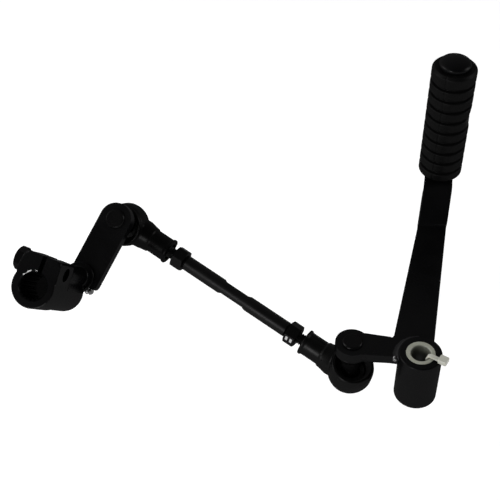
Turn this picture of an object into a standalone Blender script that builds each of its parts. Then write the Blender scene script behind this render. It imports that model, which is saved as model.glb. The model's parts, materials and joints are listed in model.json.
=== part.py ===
"""Motorcycle gear shift lever with its ball-jointed tie rod and splined clamp arm.

The frame is that of the lever: the origin is on the pivot axis at the lower end of the
pivot boss, +Z runs up the pivot axis towards the pedal side, and +Y points along the
lever bar to the pedal. The tie rod and the clamp arm lie as they do in the photograph.
"""
import math

import bmesh
import bpy
from mathutils import Matrix, Vector

MM = 0.001

# Clearances
SEAT_GAP = 0.3 * MM
RIVET_CLEARANCE = 0.3 * MM

# Pivot boss and its bushes
BOSS_OD = 20.0 * MM
BOSS_HEIGHT = 29.0 * MM
BOSS_EDGE = 0.6 * MM
BUSH_OD = 13.2 * MM
BUSH_BORE = 8.8 * MM
BUSH_CHAMFER = 0.6 * MM
BUSH_LENGTH = 12.0 * MM

# Lever plate: one flat blank with a long bar and a short arm, joggled near the pedal
PLATE_THICKNESS = 5.0 * MM
PLATE_BELOW_BOSS_TOP = 3.0 * MM
PLATE_EDGE = 0.5 * MM
BAR_ROOT_WIDTH = 19.1 * MM
BAR_TIP_WIDTH = 14.5 * MM
BAR_ROOT_X = -1.35 * MM
BAR_ROOT_Y = 12.0 * MM
BAR_CREASE_X = 16.1 * MM
BAR_CREASE_Y = 86.6 * MM
JOGGLE_RISE = 12.0 * MM
JOGGLE_ANGLE = math.radians(35)
JOGGLE_BEND_RADIUS = 7.0 * MM
ARM_WIDTH = 12.2 * MM
EYE_DIAMETER = 16.0 * MM
ARM_ROOT_UPPER = (-13.7 * MM, 11.2 * MM)
ARM_ROOT_LOWER = (-13.5 * MM, 0.6 * MM)
ARM_CORNER_RADIUS = 2.2 * MM

# Pedal peg and rubber
PEG_X = 22.0 * MM
PEG_Y = 115.0 * MM
PEG_DIAMETER = 11.0 * MM
PEG_SPIGOT_DIAMETER = 8.0 * MM
PEG_HEAD_DIAMETER = 15.6 * MM
PEG_HEAD_RIM = 1.2 * MM
PEG_HEAD_DOME = 2.6 * MM
PEG_RIVET_DIAMETER = 11.0 * MM
PEG_RIVET_HEIGHT = 1.6 * MM
RUBBER_OD = 22.0 * MM
RUBBER_LENGTH = 65.4 * MM
RUBBER_GROOVES = 9
RUBBER_GROOVE_PITCH = 6.49 * MM
RUBBER_GROOVE_DEPTH = 1.0 * MM
RUBBER_GROOVE_WIDTH = 1.5 * MM
RUBBER_TOP_BLOCK = 7.4 * MM
RUBBER_EDGE = 1.2 * MM

# Ball studs, the same at both ends of the tie rod
STUD_X = -30.2 * MM
STUD_Y = 9.1 * MM
BALL_DIAMETER = 10.0 * MM
NECK_DIAMETER = 5.6 * MM
STUD_REACH = 16.7 * MM
COLLAR_HEIGHT = 4.6 * MM
COLLAR_LOW_DIAMETER = 12.2 * MM
COLLAR_EDGE = 0.7 * MM
SHANK_DIAMETER = 7.4 * MM
RIVET_HEAD_DIAMETER = 10.2 * MM
RIVET_HEAD_HEIGHT = 0.9 * MM

# Rod ends
HOUSING_DIAMETER = 21.4 * MM
HOUSING_RIM_DIAMETER = 20.2 * MM
HOUSING_MOUTH_DIAMETER = 17.4 * MM
HOUSING_POCKET_DIAMETER = 13.8 * MM
HOUSING_TOP = 8.6 * MM
HOUSING_POCKET_TOP = 4.9 * MM
HOUSING_BOTTOM = 5.6 * MM
CAP_DIAMETER = 14.6 * MM
CAP_SEAT_DEPTH = 1.2 * MM
CAP_DOME = 1.0 * MM
SLEEVE_DIAMETER = 11.8 * MM
SLEEVE_START = 15.0 * MM
SLEEVE_END = 26.1 * MM
SLEEVE_LIP_DIAMETER = 13.0 * MM
SLEEVE_FLANGE_DIAMETER = 13.0 * MM
SLEEVE_FLANGE_WIDTH = 1.1 * MM
SLEEVE_COUNTERBORE_DIAMETER = 8.6 * MM
SLEEVE_COUNTERBORE_DEPTH = 1.2 * MM
RACE_TOP = 2.6 * MM
RACE_BOTTOM = 3.8 * MM
SEAL_DIAMETER = 9.2 * MM
SEAL_BOTTOM = 5.6 * MM

# Tie rod and lock nuts
ROD_BODY_DIAMETER = 7.5 * MM
ROD_BODY_START = 35.9 * MM
ROD_BODY_LENGTH = 60.8 * MM
ROD_BODY_TO_LEFT_BALL = 35.9 * MM
ROD_FLATS_START = 24.6 * MM
ROD_FLATS_LENGTH = 13.5 * MM
ROD_FLATS_ACROSS = 6.2 * MM
ROD_FLATS_RUNOUT = 1.2 * MM
ROD_FLATS_TURN = math.radians(-26)
THREAD_DIAMETER = 5.8 * MM
THREAD_ENGAGEMENT = 9.0 * MM
THREAD_CLEARANCE = 0.3 * MM
NUT_ACROSS_FLATS = 10.0 * MM
NUT_THICKNESS = 6.2 * MM
RIGHT_NUT_TURN = math.radians(10)
LEFT_NUT_TURN = math.radians(25)

# How the tie rod lies: the right ball is the fixed point
LINK_HEADING = math.radians(146.3)
LINK_CLIMB = math.radians(12.9)
LINK_ROLL = math.radians(-8.0)
LEFT_END_TWIST = math.radians(-44)

# Clamp arm: a flat plate with the ball stud at one end and the clamp at the other
ARM_PLATE_LENGTH = 35.4 * MM
ARM_PLATE_CORNER = 1.6 * MM

# How the clamp arm lies: its axis leaves the plate on the clamp side
CLAMP_HEADING = math.radians(-107)
CLAMP_RISE = math.radians(49.6)
CLAMP_SPIN = math.radians(-16.4)

# Clamp boss
CLAMP_X = -5.2 * MM
CLAMP_Y = -42.3 * MM
CLAMP_TURN = math.radians(7.8)
CLAMP_LENGTH = 40.5 * MM
CLAMP_EAR_LENGTH = 17.6 * MM
CLAMP_RADIUS = 10.3 * MM
CLAMP_EAR_HALF_WIDTH = 9.4 * MM
CLAMP_EAR_HEIGHT = 14.4 * MM
CLAMP_EAR_CORNER = 1.8 * MM
CLAMP_EDGE = 1.2 * MM
CLAMP_BORE = 13.2 * MM
CLAMP_SPLINES = 20
CLAMP_SPLINE_DEPTH = 0.55 * MM
CLAMP_SPLINE_LENGTH = 20.0 * MM
CLAMP_BORE_CHAMFER = 0.6 * MM
CLAMP_SLOT_WIDTH = 2.0 * MM
CLAMP_SLOT_OFFSET = 0.7 * MM
CLAMP_NECK_X = 4.6 * MM
CLAMP_NECK_Y = 9.0 * MM
CLAMP_NECK_DIAMETER = 9.0 * MM
CLAMP_NECK_PAD_DIAMETER = 15.0 * MM
CLAMP_NECK_FLARE = 6.0 * MM

# Pinch bolt
BOLT_HEIGHT = 9.2 * MM
BOLT_FROM_FACE = 9.8 * MM
BOLT_DIAMETER = 5.8 * MM
BOLT_HOLE_DIAMETER = 6.5 * MM
BOLT_HEAD_ACROSS_FLATS = 10.0 * MM
BOLT_HEAD_HEIGHT = 4.0 * MM
BOLT_HEAD_TURN = math.radians(0)
BOLT_END_INSET = 1.6 * MM
WASHER_DIAMETER = 10.0 * MM
WASHER_THICKNESS = 1.4 * MM

# Weld beads
PIVOT_WELD_WIDTH = 3.2 * MM
PIVOT_WELD_HEIGHT = 2.2 * MM
PIVOT_WELD_FROM = math.radians(75)
PIVOT_WELD_TO = math.radians(188)
CLAMP_WELD_SIZE = (11.0 * MM, 3.0 * MM, 4.2 * MM)
CLAMP_WELD_X = 1.5 * MM
CLAMP_WELD_EDGE = 1.2 * MM

# Cable tie in the pivot bore
TIE_WIDTH = 2.2 * MM
TIE_THICKNESS = 0.9 * MM
TIE_DEPTH = 20.0 * MM
TIE_HEAD = (4.2 * MM, 4.0 * MM, 2.6 * MM)
TIE_HEADING = math.radians(-32)

TURN_STEPS = 24

# Derived heights
PLATE_TOP = BOSS_HEIGHT - PLATE_BELOW_BOSS_TOP
PLATE_LOW = PLATE_TOP - PLATE_THICKNESS
BALL_Z = PLATE_LOW - STUD_REACH
PEG_PLATE_TOP = PLATE_TOP + JOGGLE_RISE
RUBBER_LOW = PEG_PLATE_TOP + SEAT_GAP
RUBBER_TOP = RUBBER_LOW + RUBBER_LENGTH
ROD_BODY_END = ROD_BODY_START + ROD_BODY_LENGTH
BALL_TO_BALL = ROD_BODY_END + ROD_BODY_TO_LEFT_BALL


def clear_scene():
    """Remove every object that a new file starts with."""
    for obj in list(bpy.data.objects):
        bpy.data.objects.remove(obj, do_unlink=True)


def make_collection(name):
    collection = bpy.data.collections.new(name)
    bpy.context.scene.collection.children.link(collection)
    return collection


def make_material(name, colour, roughness, metallic=0.0):
    material = bpy.data.materials.new(name)
    material.use_nodes = True
    shader = material.node_tree.nodes["Principled BSDF"]
    shader.inputs["Base Color"].default_value = (*colour, 1.0)
    shader.inputs["Roughness"].default_value = roughness
    shader.inputs["Metallic"].default_value = metallic
    return material


def make_frame(name, origin, z_axis, x_hint):
    """An empty at a joint's centre, with its Z axis and the nearest X axis as given."""
    empty = bpy.data.objects.new(name, None)
    PARTS.objects.link(empty)
    empty.matrix_world = axes_matrix(origin, z_axis, x_hint)
    return empty


def axes_matrix(origin, z_axis, x_hint):
    z = Vector(z_axis).normalized()
    x = Vector(x_hint)
    x = (x - z * x.dot(z)).normalized()
    y = z.cross(x)
    matrix = Matrix((x, y, z)).transposed().to_4x4()
    matrix.translation = Vector(origin)
    return matrix


def direction(heading, rise):
    """The unit vector with this heading from +X and this rise above the XY plane."""
    flat = math.cos(rise)
    return Vector((flat * math.cos(heading), flat * math.sin(heading), math.sin(rise)))


def add_object(name, data, parent, local=None, collection=None, material=None):
    """Link an object under a frame empty, placed by its local matrix."""
    obj = bpy.data.objects.new(name, data)
    (collection or PARTS).objects.link(obj)
    obj.parent = parent
    obj.matrix_local = local or Matrix.Identity(4)
    if material:
        data.materials.append(material)
    return obj


def turned(name, profile, parent, material=None, local=None, ring=False, steps=TURN_STEPS,
           collection=None):
    """A turned piece: its (radius, height) profile, outer side from top to bottom."""
    mesh = bpy.data.meshes.new(name)
    points = [(radius, 0.0, height) for radius, height in profile]
    edges = [(i, i + 1) for i in range(len(points) - 1)]
    if ring:
        edges.append((len(points) - 1, 0))
    mesh.from_pydata(points, edges, [])
    obj = add_object(name, mesh, parent, local, collection, material)
    screw = obj.modifiers.new("turn", "SCREW")
    screw.axis = "Z"
    screw.steps = steps
    screw.render_steps = steps
    screw.use_merge_vertices = True
    screw.merge_threshold = 0.000001
    screw.use_smooth_shade = True
    return obj


def arc(centre, radius, start, end, steps):
    """Points on an arc, from the start angle to the end angle."""
    return [(centre[0] + radius * math.cos(start + (end - start) * i / steps),
             centre[1] + radius * math.sin(start + (end - start) * i / steps))
            for i in range(steps + 1)]


def prism(name, outline, low, high, parent, material=None, local=None, collection=None):
    """A flat outline as a filled 2D curve, given its thickness and turned into a mesh."""
    curve = bpy.data.curves.new(name, "CURVE")
    curve.dimensions = "2D"
    curve.fill_mode = "BOTH"
    curve.extrude = (high - low) / 2
    spline = curve.splines.new("POLY")
    spline.points.add(len(outline) - 1)
    for point, (x, y) in zip(spline.points, outline):
        point.co = (x, y, 0.0, 1.0)
    spline.use_cyclic_u = True
    raise_up = Matrix.Translation((0.0, 0.0, (high + low) / 2))
    flat = add_object(name + "_outline", curve, parent, (local or Matrix.Identity(4)) @ raise_up)
    mesh = mesh_of(flat, name)
    for vertex in mesh.vertices:
        vertex.co.z += (high + low) / 2
    bpy.data.objects.remove(flat, do_unlink=True)
    return add_object(name, mesh, parent, local, collection, material)


def mesh_of(obj, name):
    """The welded mesh of a curve object, in the object's own space."""
    graph = bpy.context.evaluated_depsgraph_get()
    mesh = bpy.data.meshes.new_from_object(obj.evaluated_get(graph))
    mesh.name = name
    edit = bmesh.new()
    edit.from_mesh(mesh)
    bmesh.ops.remove_doubles(edit, verts=edit.verts, dist=0.000001)
    bmesh.ops.dissolve_limit(edit, angle_limit=0.001, verts=edit.verts, edges=edit.edges)
    bmesh.ops.recalc_face_normals(edit, faces=edit.faces)
    edit.to_mesh(mesh)
    edit.free()
    mesh.materials.clear()
    return mesh


def box(name, size, parent, local, material=None, collection=None, edge=0.0):
    """A box of the given full sizes about its own origin, with an optional edge radius."""
    mesh = bpy.data.meshes.new(name)
    edit = bmesh.new()
    bmesh.ops.create_cube(edit, size=1.0)
    bmesh.ops.scale(edit, vec=size, verts=edit.verts)
    edit.to_mesh(mesh)
    edit.free()
    obj = add_object(name, mesh, parent, local, collection, material)
    if edge:
        round_edges(obj, edge)
    return obj


def cylinder(name, diameter, low, high, parent, local=None, collection=None, steps=TURN_STEPS):
    """A plain round bar along its own Z axis, used as a cutter or a core."""
    mesh = bpy.data.meshes.new(name)
    edit = bmesh.new()
    bmesh.ops.create_cone(edit, cap_ends=True, segments=steps, radius1=diameter / 2,
                          radius2=diameter / 2, depth=high - low)
    bmesh.ops.translate(edit, vec=(0, 0, (high + low) / 2), verts=edit.verts)
    edit.to_mesh(mesh)
    edit.free()
    return add_object(name, mesh, parent, local, collection)


def combine(target, other, operation):
    """Cut, join or intersect a piece with a helper, which then leaves the model."""
    modifier = target.modifiers.new(operation.lower(), "BOOLEAN")
    modifier.operation = operation
    modifier.solver = "EXACT"
    modifier.object = other
    other.hide_render = True
    other.display_type = "WIRE"
    for collection in list(other.users_collection):
        collection.objects.unlink(other)
    CUTTERS.objects.link(other)


def cut(target, other):
    combine(target, other, "DIFFERENCE")


def join(target, other):
    combine(target, other, "UNION")


def keep_common(target, other):
    combine(target, other, "INTERSECT")


def round_edges(obj, width, segments=2, angle=35):
    bevel = obj.modifiers.new("edges", "BEVEL")
    bevel.width = width
    bevel.segments = segments
    bevel.limit_method = "ANGLE"
    bevel.angle_limit = math.radians(angle)
    bevel.use_clamp_overlap = True
    return bevel


def sphere_points(radius, start, end, steps):
    """(radius, height) points of a ball's side, between two angles from its top."""
    return [(radius * math.sin(start + (end - start) * i / steps),
             radius * math.cos(start + (end - start) * i / steps)) for i in range(steps + 1)]


# Lever

def fillet(before, corner, after, radius, steps=4):
    """The arc that rounds a corner of an outline."""
    a, c, b = Vector(before), Vector(corner), Vector(after)
    u, v = (a - c).normalized(), (b - c).normalized()
    half = u.angle(v) / 2
    reach = radius / math.tan(half)
    centre = c + (u + v).normalized() * (radius / math.sin(half))
    first, last = c + u * reach - centre, c + v * reach - centre
    sweep = first.angle_signed(last)
    points = []
    for i in range(steps + 1):
        turn = Matrix.Rotation(-sweep * i / steps, 2)
        points.append(tuple(centre + turn @ first))
    return points


def bar_edges(y):
    """The left and right edge of the bar at a distance along it."""
    share = (y - BAR_ROOT_Y) / (BAR_CREASE_Y - BAR_ROOT_Y)
    middle = BAR_ROOT_X + (BAR_CREASE_X - BAR_ROOT_X) * share
    width = BAR_ROOT_WIDTH + (BAR_TIP_WIDTH - BAR_ROOT_WIDTH) * min(share, 1.0)
    return middle - width / 2, middle + width / 2


def joggle_lengths():
    """Flat-blank distances of the two bends: start of each arc and its length."""
    arc_length = JOGGLE_BEND_RADIUS * JOGGLE_ANGLE
    arc_rise = JOGGLE_BEND_RADIUS * (1 - math.cos(JOGGLE_ANGLE))
    slope_length = (JOGGLE_RISE - 2 * arc_rise) / math.sin(JOGGLE_ANGLE)
    first = BAR_CREASE_Y - JOGGLE_BEND_RADIUS * math.tan(JOGGLE_ANGLE / 2)
    second = first + arc_length + slope_length
    return first, second, arc_length, slope_length


def joggled(y, z):
    """Where a point of the flat blank comes to lie once both bends are made."""
    first, second, arc_length, slope_length = joggle_lengths()
    radius, angle = JOGGLE_BEND_RADIUS, JOGGLE_ANGLE
    if y <= first:
        return y, z
    turned_by = min(y - first, arc_length) / radius
    path_y = first + radius * math.sin(turned_by)
    path_z = radius * (1 - math.cos(turned_by))
    if y > first + arc_length:
        slope = min(y, second) - first - arc_length
        path_y += slope * math.cos(angle)
        path_z += slope * math.sin(angle)
    if y > second:
        back = min(y - second, arc_length) / radius
        path_y += radius * (math.sin(angle) - math.sin(angle - back))
        path_z += radius * (math.cos(angle - back) - math.cos(angle))
        turned_by = angle - back
        path_y += max(0.0, y - second - arc_length)
    return path_y - z * math.sin(turned_by), path_z + z * math.cos(turned_by)


def blank_length(y):
    """The distance on the flat blank of a place beyond the joggle."""
    first, second, arc_length, slope_length = joggle_lengths()
    end_y, _ = joggled(second + arc_length, 0.0)
    return second + arc_length + (y - end_y)


def plate_outline():
    """The plan of the lever's flat blank: short arm, bar root, bar and round tip."""
    tip_y = blank_length(PEG_Y)
    tip_left, tip_right = bar_edges(BAR_CREASE_Y)
    lean = (BAR_CREASE_X - BAR_ROOT_X) / (BAR_CREASE_Y - BAR_ROOT_Y)
    tip_middle = PEG_X
    half_tip = BAR_TIP_WIDTH / 2
    root_left, root_right = bar_edges(BAR_ROOT_Y)
    stud = Vector((STUD_X, STUD_Y))
    upper, lower = Vector(ARM_ROOT_UPPER), Vector(ARM_ROOT_LOWER)
    arm = (upper + lower) / 2 - stud
    arm_angle = math.atan2(arm.y, arm.x)
    opening = math.asin(ARM_WIDTH / EYE_DIAMETER)
    arm_end = arc(stud, EYE_DIAMETER / 2, arm_angle + opening, arm_angle - opening + 2 * math.pi, 18)
    corner = fillet(upper, (root_left, BAR_ROOT_Y), (tip_left, BAR_CREASE_Y), ARM_CORNER_RADIUS)
    tip = arc((tip_middle, tip_y), half_tip, 0.0, math.pi, 10)
    boss_front = (0.45 * BOSS_OD / 2, 0.2 * BOSS_OD / 2)
    return ([(tip_right, BAR_CREASE_Y)] + tip + [(tip_left, BAR_CREASE_Y)]
            + list(reversed(corner)) + arm_end
            + [ARM_ROOT_LOWER, (-0.8 * BOSS_OD / 2, -0.04 * BOSS_OD), boss_front,
               (root_right - lean * BAR_ROOT_Y / 3, 2 * BAR_ROOT_Y / 3)])


def build_lever_plate():
    plate = prism("lever_plate", plate_outline(), -PLATE_THICKNESS / 2, PLATE_THICKNESS / 2,
                  LEVER, PAINTED, Matrix.Translation((0, 0, PLATE_TOP - PLATE_THICKNESS / 2)))
    first, second, arc_length, slope_length = joggle_lengths()
    edit = bmesh.new()
    edit.from_mesh(plate.data)
    rims = [edge for edge in edit.edges if edge.calc_face_angle(0.0) > math.radians(60)]
    bmesh.ops.bevel(edit, geom=rims, offset=PLATE_EDGE, segments=2, profile=0.5, affect="EDGES")
    for start in (first, second):
        for i in range(5):
            bmesh.ops.bisect_plane(edit, geom=edit.verts[:] + edit.edges[:] + edit.faces[:],
                                   plane_co=(0, start + arc_length * i / 4, 0), plane_no=(0, 1, 0))
    for vertex in edit.verts:
        vertex.co.y, vertex.co.z = joggled(vertex.co.y, vertex.co.z)
    edit.to_mesh(plate.data)
    edit.free()
    cut(plate, cylinder("boss_hole", BOSS_OD + 2 * SEAT_GAP, 0, 2 * BOSS_HEIGHT, LEVER))
    stud_at = Matrix.Translation((STUD_X, STUD_Y, 0))
    cut(plate, cylinder("stud_hole", SHANK_DIAMETER + 2 * RIVET_CLEARANCE, 0, 2 * BOSS_HEIGHT,
                        LEVER, stud_at))
    peg_at = Matrix.Translation((PEG_X, PEG_Y, 0))
    cut(plate, cylinder("peg_hole", PEG_SPIGOT_DIAMETER + 2 * RIVET_CLEARANCE, 0,
                        2 * BOSS_HEIGHT, LEVER, peg_at))
    return plate


def build_pivot_boss():
    outer, inner = BOSS_OD / 2, BUSH_OD / 2 + SEAT_GAP
    turned("pivot_boss", [(outer - BOSS_EDGE, BOSS_HEIGHT), (outer, BOSS_HEIGHT - BOSS_EDGE),
                          (outer, BOSS_EDGE), (outer - BOSS_EDGE, 0), (inner, 0),
                          (inner, BOSS_HEIGHT)], LEVER, PAINTED, ring=True)


def build_bushes():
    """Two plain nylon bushes, pressed in from either end of the boss."""
    outer, inner = BUSH_OD / 2, BUSH_BORE / 2
    for name, low in (("lower_bush", 0.0), ("upper_bush", BOSS_HEIGHT - BUSH_LENGTH)):
        high = low + BUSH_LENGTH
        turned(name, [(outer, high), (outer, low), (inner + BUSH_CHAMFER, low),
                      (inner, low + BUSH_CHAMFER), (inner, high - BUSH_CHAMFER),
                      (inner + BUSH_CHAMFER, high)], LEVER, NYLON, ring=True)


def build_pivot_welds():
    """The fillet round the back of the boss, and the bead in its front corner."""
    inner = BOSS_OD / 2 + SEAT_GAP
    base = PLATE_TOP + SEAT_GAP
    mesh = bpy.data.meshes.new("pivot_weld")
    edit = bmesh.new()
    section = [(inner, base), (inner + PIVOT_WELD_WIDTH, base)]
    section += [(inner + PIVOT_WELD_WIDTH * 0.45, base + PIVOT_WELD_HEIGHT * 0.42),
                (inner + 0.2 * PIVOT_WELD_WIDTH, base + PIVOT_WELD_HEIGHT * 0.8),
                (inner, base + PIVOT_WELD_HEIGHT)]
    start = [edit.verts.new((r * math.cos(PIVOT_WELD_FROM), r * math.sin(PIVOT_WELD_FROM), z))
             for r, z in section]
    face = edit.faces.new(start)
    bmesh.ops.spin(edit, geom=[face] + face.edges[:] + face.verts[:], cent=(0, 0, 0),
                   axis=(0, 0, 1), angle=PIVOT_WELD_TO - PIVOT_WELD_FROM, steps=24,
                   use_duplicate=False)
    bmesh.ops.recalc_face_normals(edit, faces=edit.faces)
    edit.to_mesh(mesh)
    edit.free()
    add_object("pivot_weld", mesh, LEVER, material=WELDED)


def build_pedal():
    at_peg = Matrix.Translation((PEG_X, PEG_Y, 0))
    shank, spigot = PEG_DIAMETER / 2, PEG_SPIGOT_DIAMETER / 2
    head, rivet = PEG_HEAD_DIAMETER / 2, PEG_RIVET_DIAMETER / 2
    under_head = RUBBER_TOP + SEAT_GAP
    plate_low = PEG_PLATE_TOP - PLATE_THICKNESS
    dome = [(head * math.sin(a), under_head + PEG_HEAD_RIM + PEG_HEAD_DOME * math.cos(a))
            for a in (math.radians(d) for d in (0, 15, 30, 45, 60, 75, 90))]
    turned("pedal_peg", dome + [(head, under_head), (shank, under_head),
                                (shank, PEG_PLATE_TOP + SEAT_GAP),
                                (spigot, PEG_PLATE_TOP + SEAT_GAP),
                                (spigot, plate_low - SEAT_GAP),
                                (rivet, plate_low - SEAT_GAP),
                                (rivet * 0.9, plate_low - SEAT_GAP - PEG_RIVET_HEIGHT * 0.6),
                                (rivet * 0.6, plate_low - SEAT_GAP - PEG_RIVET_HEIGHT),
                                (0, plate_low - SEAT_GAP - PEG_RIVET_HEIGHT)],
           LEVER, PAINTED, at_peg)
    turned("pedal_rubber", rubber_profile(), LEVER, RUBBER, at_peg, ring=True)


def rubber_profile():
    """The ribbed sleeve: two end blocks, with ribs and narrow grooves between."""
    outer, inner = RUBBER_OD / 2, PEG_DIAMETER / 2 + SEAT_GAP
    half, depth = RUBBER_GROOVE_WIDTH / 2, RUBBER_GROOVE_DEPTH
    points = [(outer - RUBBER_EDGE, RUBBER_TOP), (outer - 0.3 * RUBBER_EDGE, RUBBER_TOP - 0.3 * RUBBER_EDGE),
              (outer, RUBBER_TOP - RUBBER_EDGE)]
    for i in range(RUBBER_GROOVES):
        z = RUBBER_TOP - RUBBER_TOP_BLOCK - i * RUBBER_GROOVE_PITCH
        points += [(outer, z + half), (outer - depth, z + half * 0.4),
                   (outer - depth, z - half * 0.4), (outer, z - half)]
    points += [(outer, RUBBER_LOW + RUBBER_EDGE), (outer - 0.3 * RUBBER_EDGE, RUBBER_LOW + 0.3 * RUBBER_EDGE),
               (outer - RUBBER_EDGE, RUBBER_LOW),
               (inner, RUBBER_LOW), (inner, RUBBER_TOP)]
    return points


# Ball joints

def build_ball_stud(name, frame):
    """A riveted ball stud: ball, neck, tapered collar, shank through the plate and head."""
    ball, neck, shank = BALL_DIAMETER / 2, NECK_DIAMETER / 2, SHANK_DIAMETER / 2
    head = RIVET_HEAD_DIAMETER / 2
    collar_top = STUD_REACH - SEAT_GAP
    collar_low = collar_top - COLLAR_HEIGHT
    plate_top = STUD_REACH + PLATE_THICKNESS + SEAT_GAP
    neck_angle = math.asin(neck / ball)
    profile = [(0, plate_top + RIVET_HEAD_HEIGHT), (head * 0.86, plate_top + RIVET_HEAD_HEIGHT),
               (head * 0.97, plate_top + RIVET_HEAD_HEIGHT * 0.6), (head, plate_top),
               (shank, plate_top), (shank, collar_top),
               (EYE_DIAMETER / 2, collar_top),
               (COLLAR_LOW_DIAMETER / 2, collar_low + COLLAR_EDGE),
               (COLLAR_LOW_DIAMETER / 2 - COLLAR_EDGE, collar_low),
               (neck, collar_low)]
    profile += sphere_points(ball, neck_angle, math.pi, 9)
    turned(name, profile, frame, PLATED)


def build_dust_seal(name, frame):
    """A rubber sleeve round the stud's neck, between the race and the collar."""
    outer, inner = SEAL_DIAMETER / 2, NECK_DIAMETER / 2 + SEAT_GAP
    top = STUD_REACH - SEAT_GAP - COLLAR_HEIGHT - SEAT_GAP
    low = SEAL_BOTTOM
    turned(name, [(outer - 0.8 * MM, top), (outer, low + 1.8 * MM), (outer, low + 0.4 * MM),
                  (outer - 0.3 * MM, low), (inner, low), (inner, top)], frame, RUBBER, ring=True)


def build_rod_end(side, frame, twist, along):
    """A closed-bottom rod end: round housing with race and cap, and a threaded neck.

    The frame's Z axis runs along the tie rod. The neck leaves the ball along it, towards
    +Z where along is 1 and towards -Z where it is -1.
    """
    neck_axis = Vector((0, 0, along))
    face = Vector((math.cos(twist), math.sin(twist), 0))
    housing_at = axes_matrix((0, 0, 0), face, neck_axis)
    neck_at = axes_matrix((0, 0, 0), neck_axis, face)
    outer, rim = HOUSING_DIAMETER / 2, HOUSING_RIM_DIAMETER / 2
    mouth, pocket = HOUSING_MOUTH_DIAMETER / 2, HOUSING_POCKET_DIAMETER / 2
    seat = CAP_DIAMETER / 2 + SEAT_GAP
    top, low = HOUSING_TOP, -HOUSING_BOTTOM
    end = turned(side + "_rod_end",
                 [(0, top), (rim - 0.5 * MM, top), (rim, top - 0.7 * MM), (rim, top - 1.9 * MM),
                  (outer - 0.2 * MM, top - 2.5 * MM), (outer, top - 4.5 * MM),
                  (outer, low + 5.0 * MM), (outer - 0.5 * MM, low + 3.2 * MM),
                  (outer - 1.3 * MM, low + 1.2 * MM), (outer - 2.2 * MM, low), (0, low)],
                 frame, PLATED, housing_at)
    sleeve, lip = SLEEVE_DIAMETER / 2, SLEEVE_LIP_DIAMETER / 2
    flange = SLEEVE_FLANGE_DIAMETER / 2
    neck = turned(side + "_neck",
                  [(0, SLEEVE_END), (flange - 0.4 * MM, SLEEVE_END), (flange, SLEEVE_END - 0.4 * MM),
                   (flange, SLEEVE_END - SLEEVE_FLANGE_WIDTH),
                   (sleeve, SLEEVE_END - SLEEVE_FLANGE_WIDTH - 0.5 * MM),
                   (sleeve, SLEEVE_START + 0.6 * MM), (lip, SLEEVE_START),
                   (lip, SLEEVE_START - 0.6 * MM), (lip + 0.2 * MM, SLEEVE_START - 1.8 * MM),
                   (lip + 1.0 * MM, 9.5 * MM), (lip + 0.4 * MM, 6.0 * MM), (0, 6.0 * MM)],
                  frame, None, neck_at)
    wide, thick = 3 * SLEEVE_END, HOUSING_TOP + HOUSING_BOTTOM - 1.6 * MM
    middle = (HOUSING_TOP - HOUSING_BOTTOM) / 2 - 0.4 * MM
    thickness_limit = box(side + "_neck_limit", (wide, wide, thick), frame,
                          housing_at @ Matrix.Translation((0, 0, middle)))
    keep_common(neck, thickness_limit)
    join(end, neck)
    cut(end, turned(side + "_pocket",
                    [(0, top + 2 * MM), (mouth + 1.0 * MM, top + 2 * MM), (mouth, top),
                     (pocket, HOUSING_POCKET_TOP), (pocket, low + CAP_SEAT_DEPTH),
                     (seat, low + CAP_SEAT_DEPTH), (seat, low - 2 * MM), (0, low - 2 * MM)],
                    frame, None, housing_at))
    hole = THREAD_DIAMETER / 2 + THREAD_CLEARANCE
    thread_bottom = SLEEVE_END - THREAD_ENGAGEMENT - 2 * SEAT_GAP
    counterbore = SLEEVE_COUNTERBORE_DIAMETER / 2
    cut(end, turned(side + "_thread_hole",
                    [(0, SLEEVE_END + 2 * MM), (counterbore, SLEEVE_END + 2 * MM),
                     (counterbore, SLEEVE_END - SLEEVE_COUNTERBORE_DEPTH),
                     (hole, SLEEVE_END - SLEEVE_COUNTERBORE_DEPTH - (counterbore - hole)),
                     (hole, thread_bottom), (0, thread_bottom)], frame, None, neck_at))
    build_race(side, frame, housing_at)
    build_cap(side, frame, housing_at)


def build_race(side, frame, housing_at):
    """The plastic race: round the ball, held between the pocket's wall and the cap."""
    outer = HOUSING_POCKET_DIAMETER / 2 - SEAT_GAP
    inner = BALL_DIAMETER / 2 + SEAT_GAP
    top_angle = math.acos(RACE_TOP / inner)
    low_angle = math.acos(-RACE_BOTTOM / inner)
    bowl = sphere_points(inner, low_angle, top_angle, 7)
    turned(side + "_race", [(outer, RACE_TOP), (outer, -RACE_BOTTOM)] + bowl,
           frame, DARK_NYLON, housing_at, ring=True)


def build_cap(side, frame, housing_at):
    """The pressed end cap that closes the housing below the ball."""
    radius = CAP_DIAMETER / 2
    top = -HOUSING_BOTTOM + CAP_SEAT_DEPTH - SEAT_GAP
    low = -HOUSING_BOTTOM - CAP_DOME
    dish = top - 0.5 * MM
    turned(side + "_end_cap",
           [(0, dish), (radius * 0.5, dish), (radius * 0.75, top), (radius, top),
            (radius, -HOUSING_BOTTOM), (radius * 0.82, low + 0.2 * MM), (radius * 0.5, low),
            (0, low)], frame, DARK_STEEL, housing_at)


# Tie rod

def hexagon(across_flats, turn=0.0):
    corner = across_flats / math.sqrt(3)
    return [(corner * math.cos(turn + math.radians(60 * i)),
             corner * math.sin(turn + math.radians(60 * i))) for i in range(6)]


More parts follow.
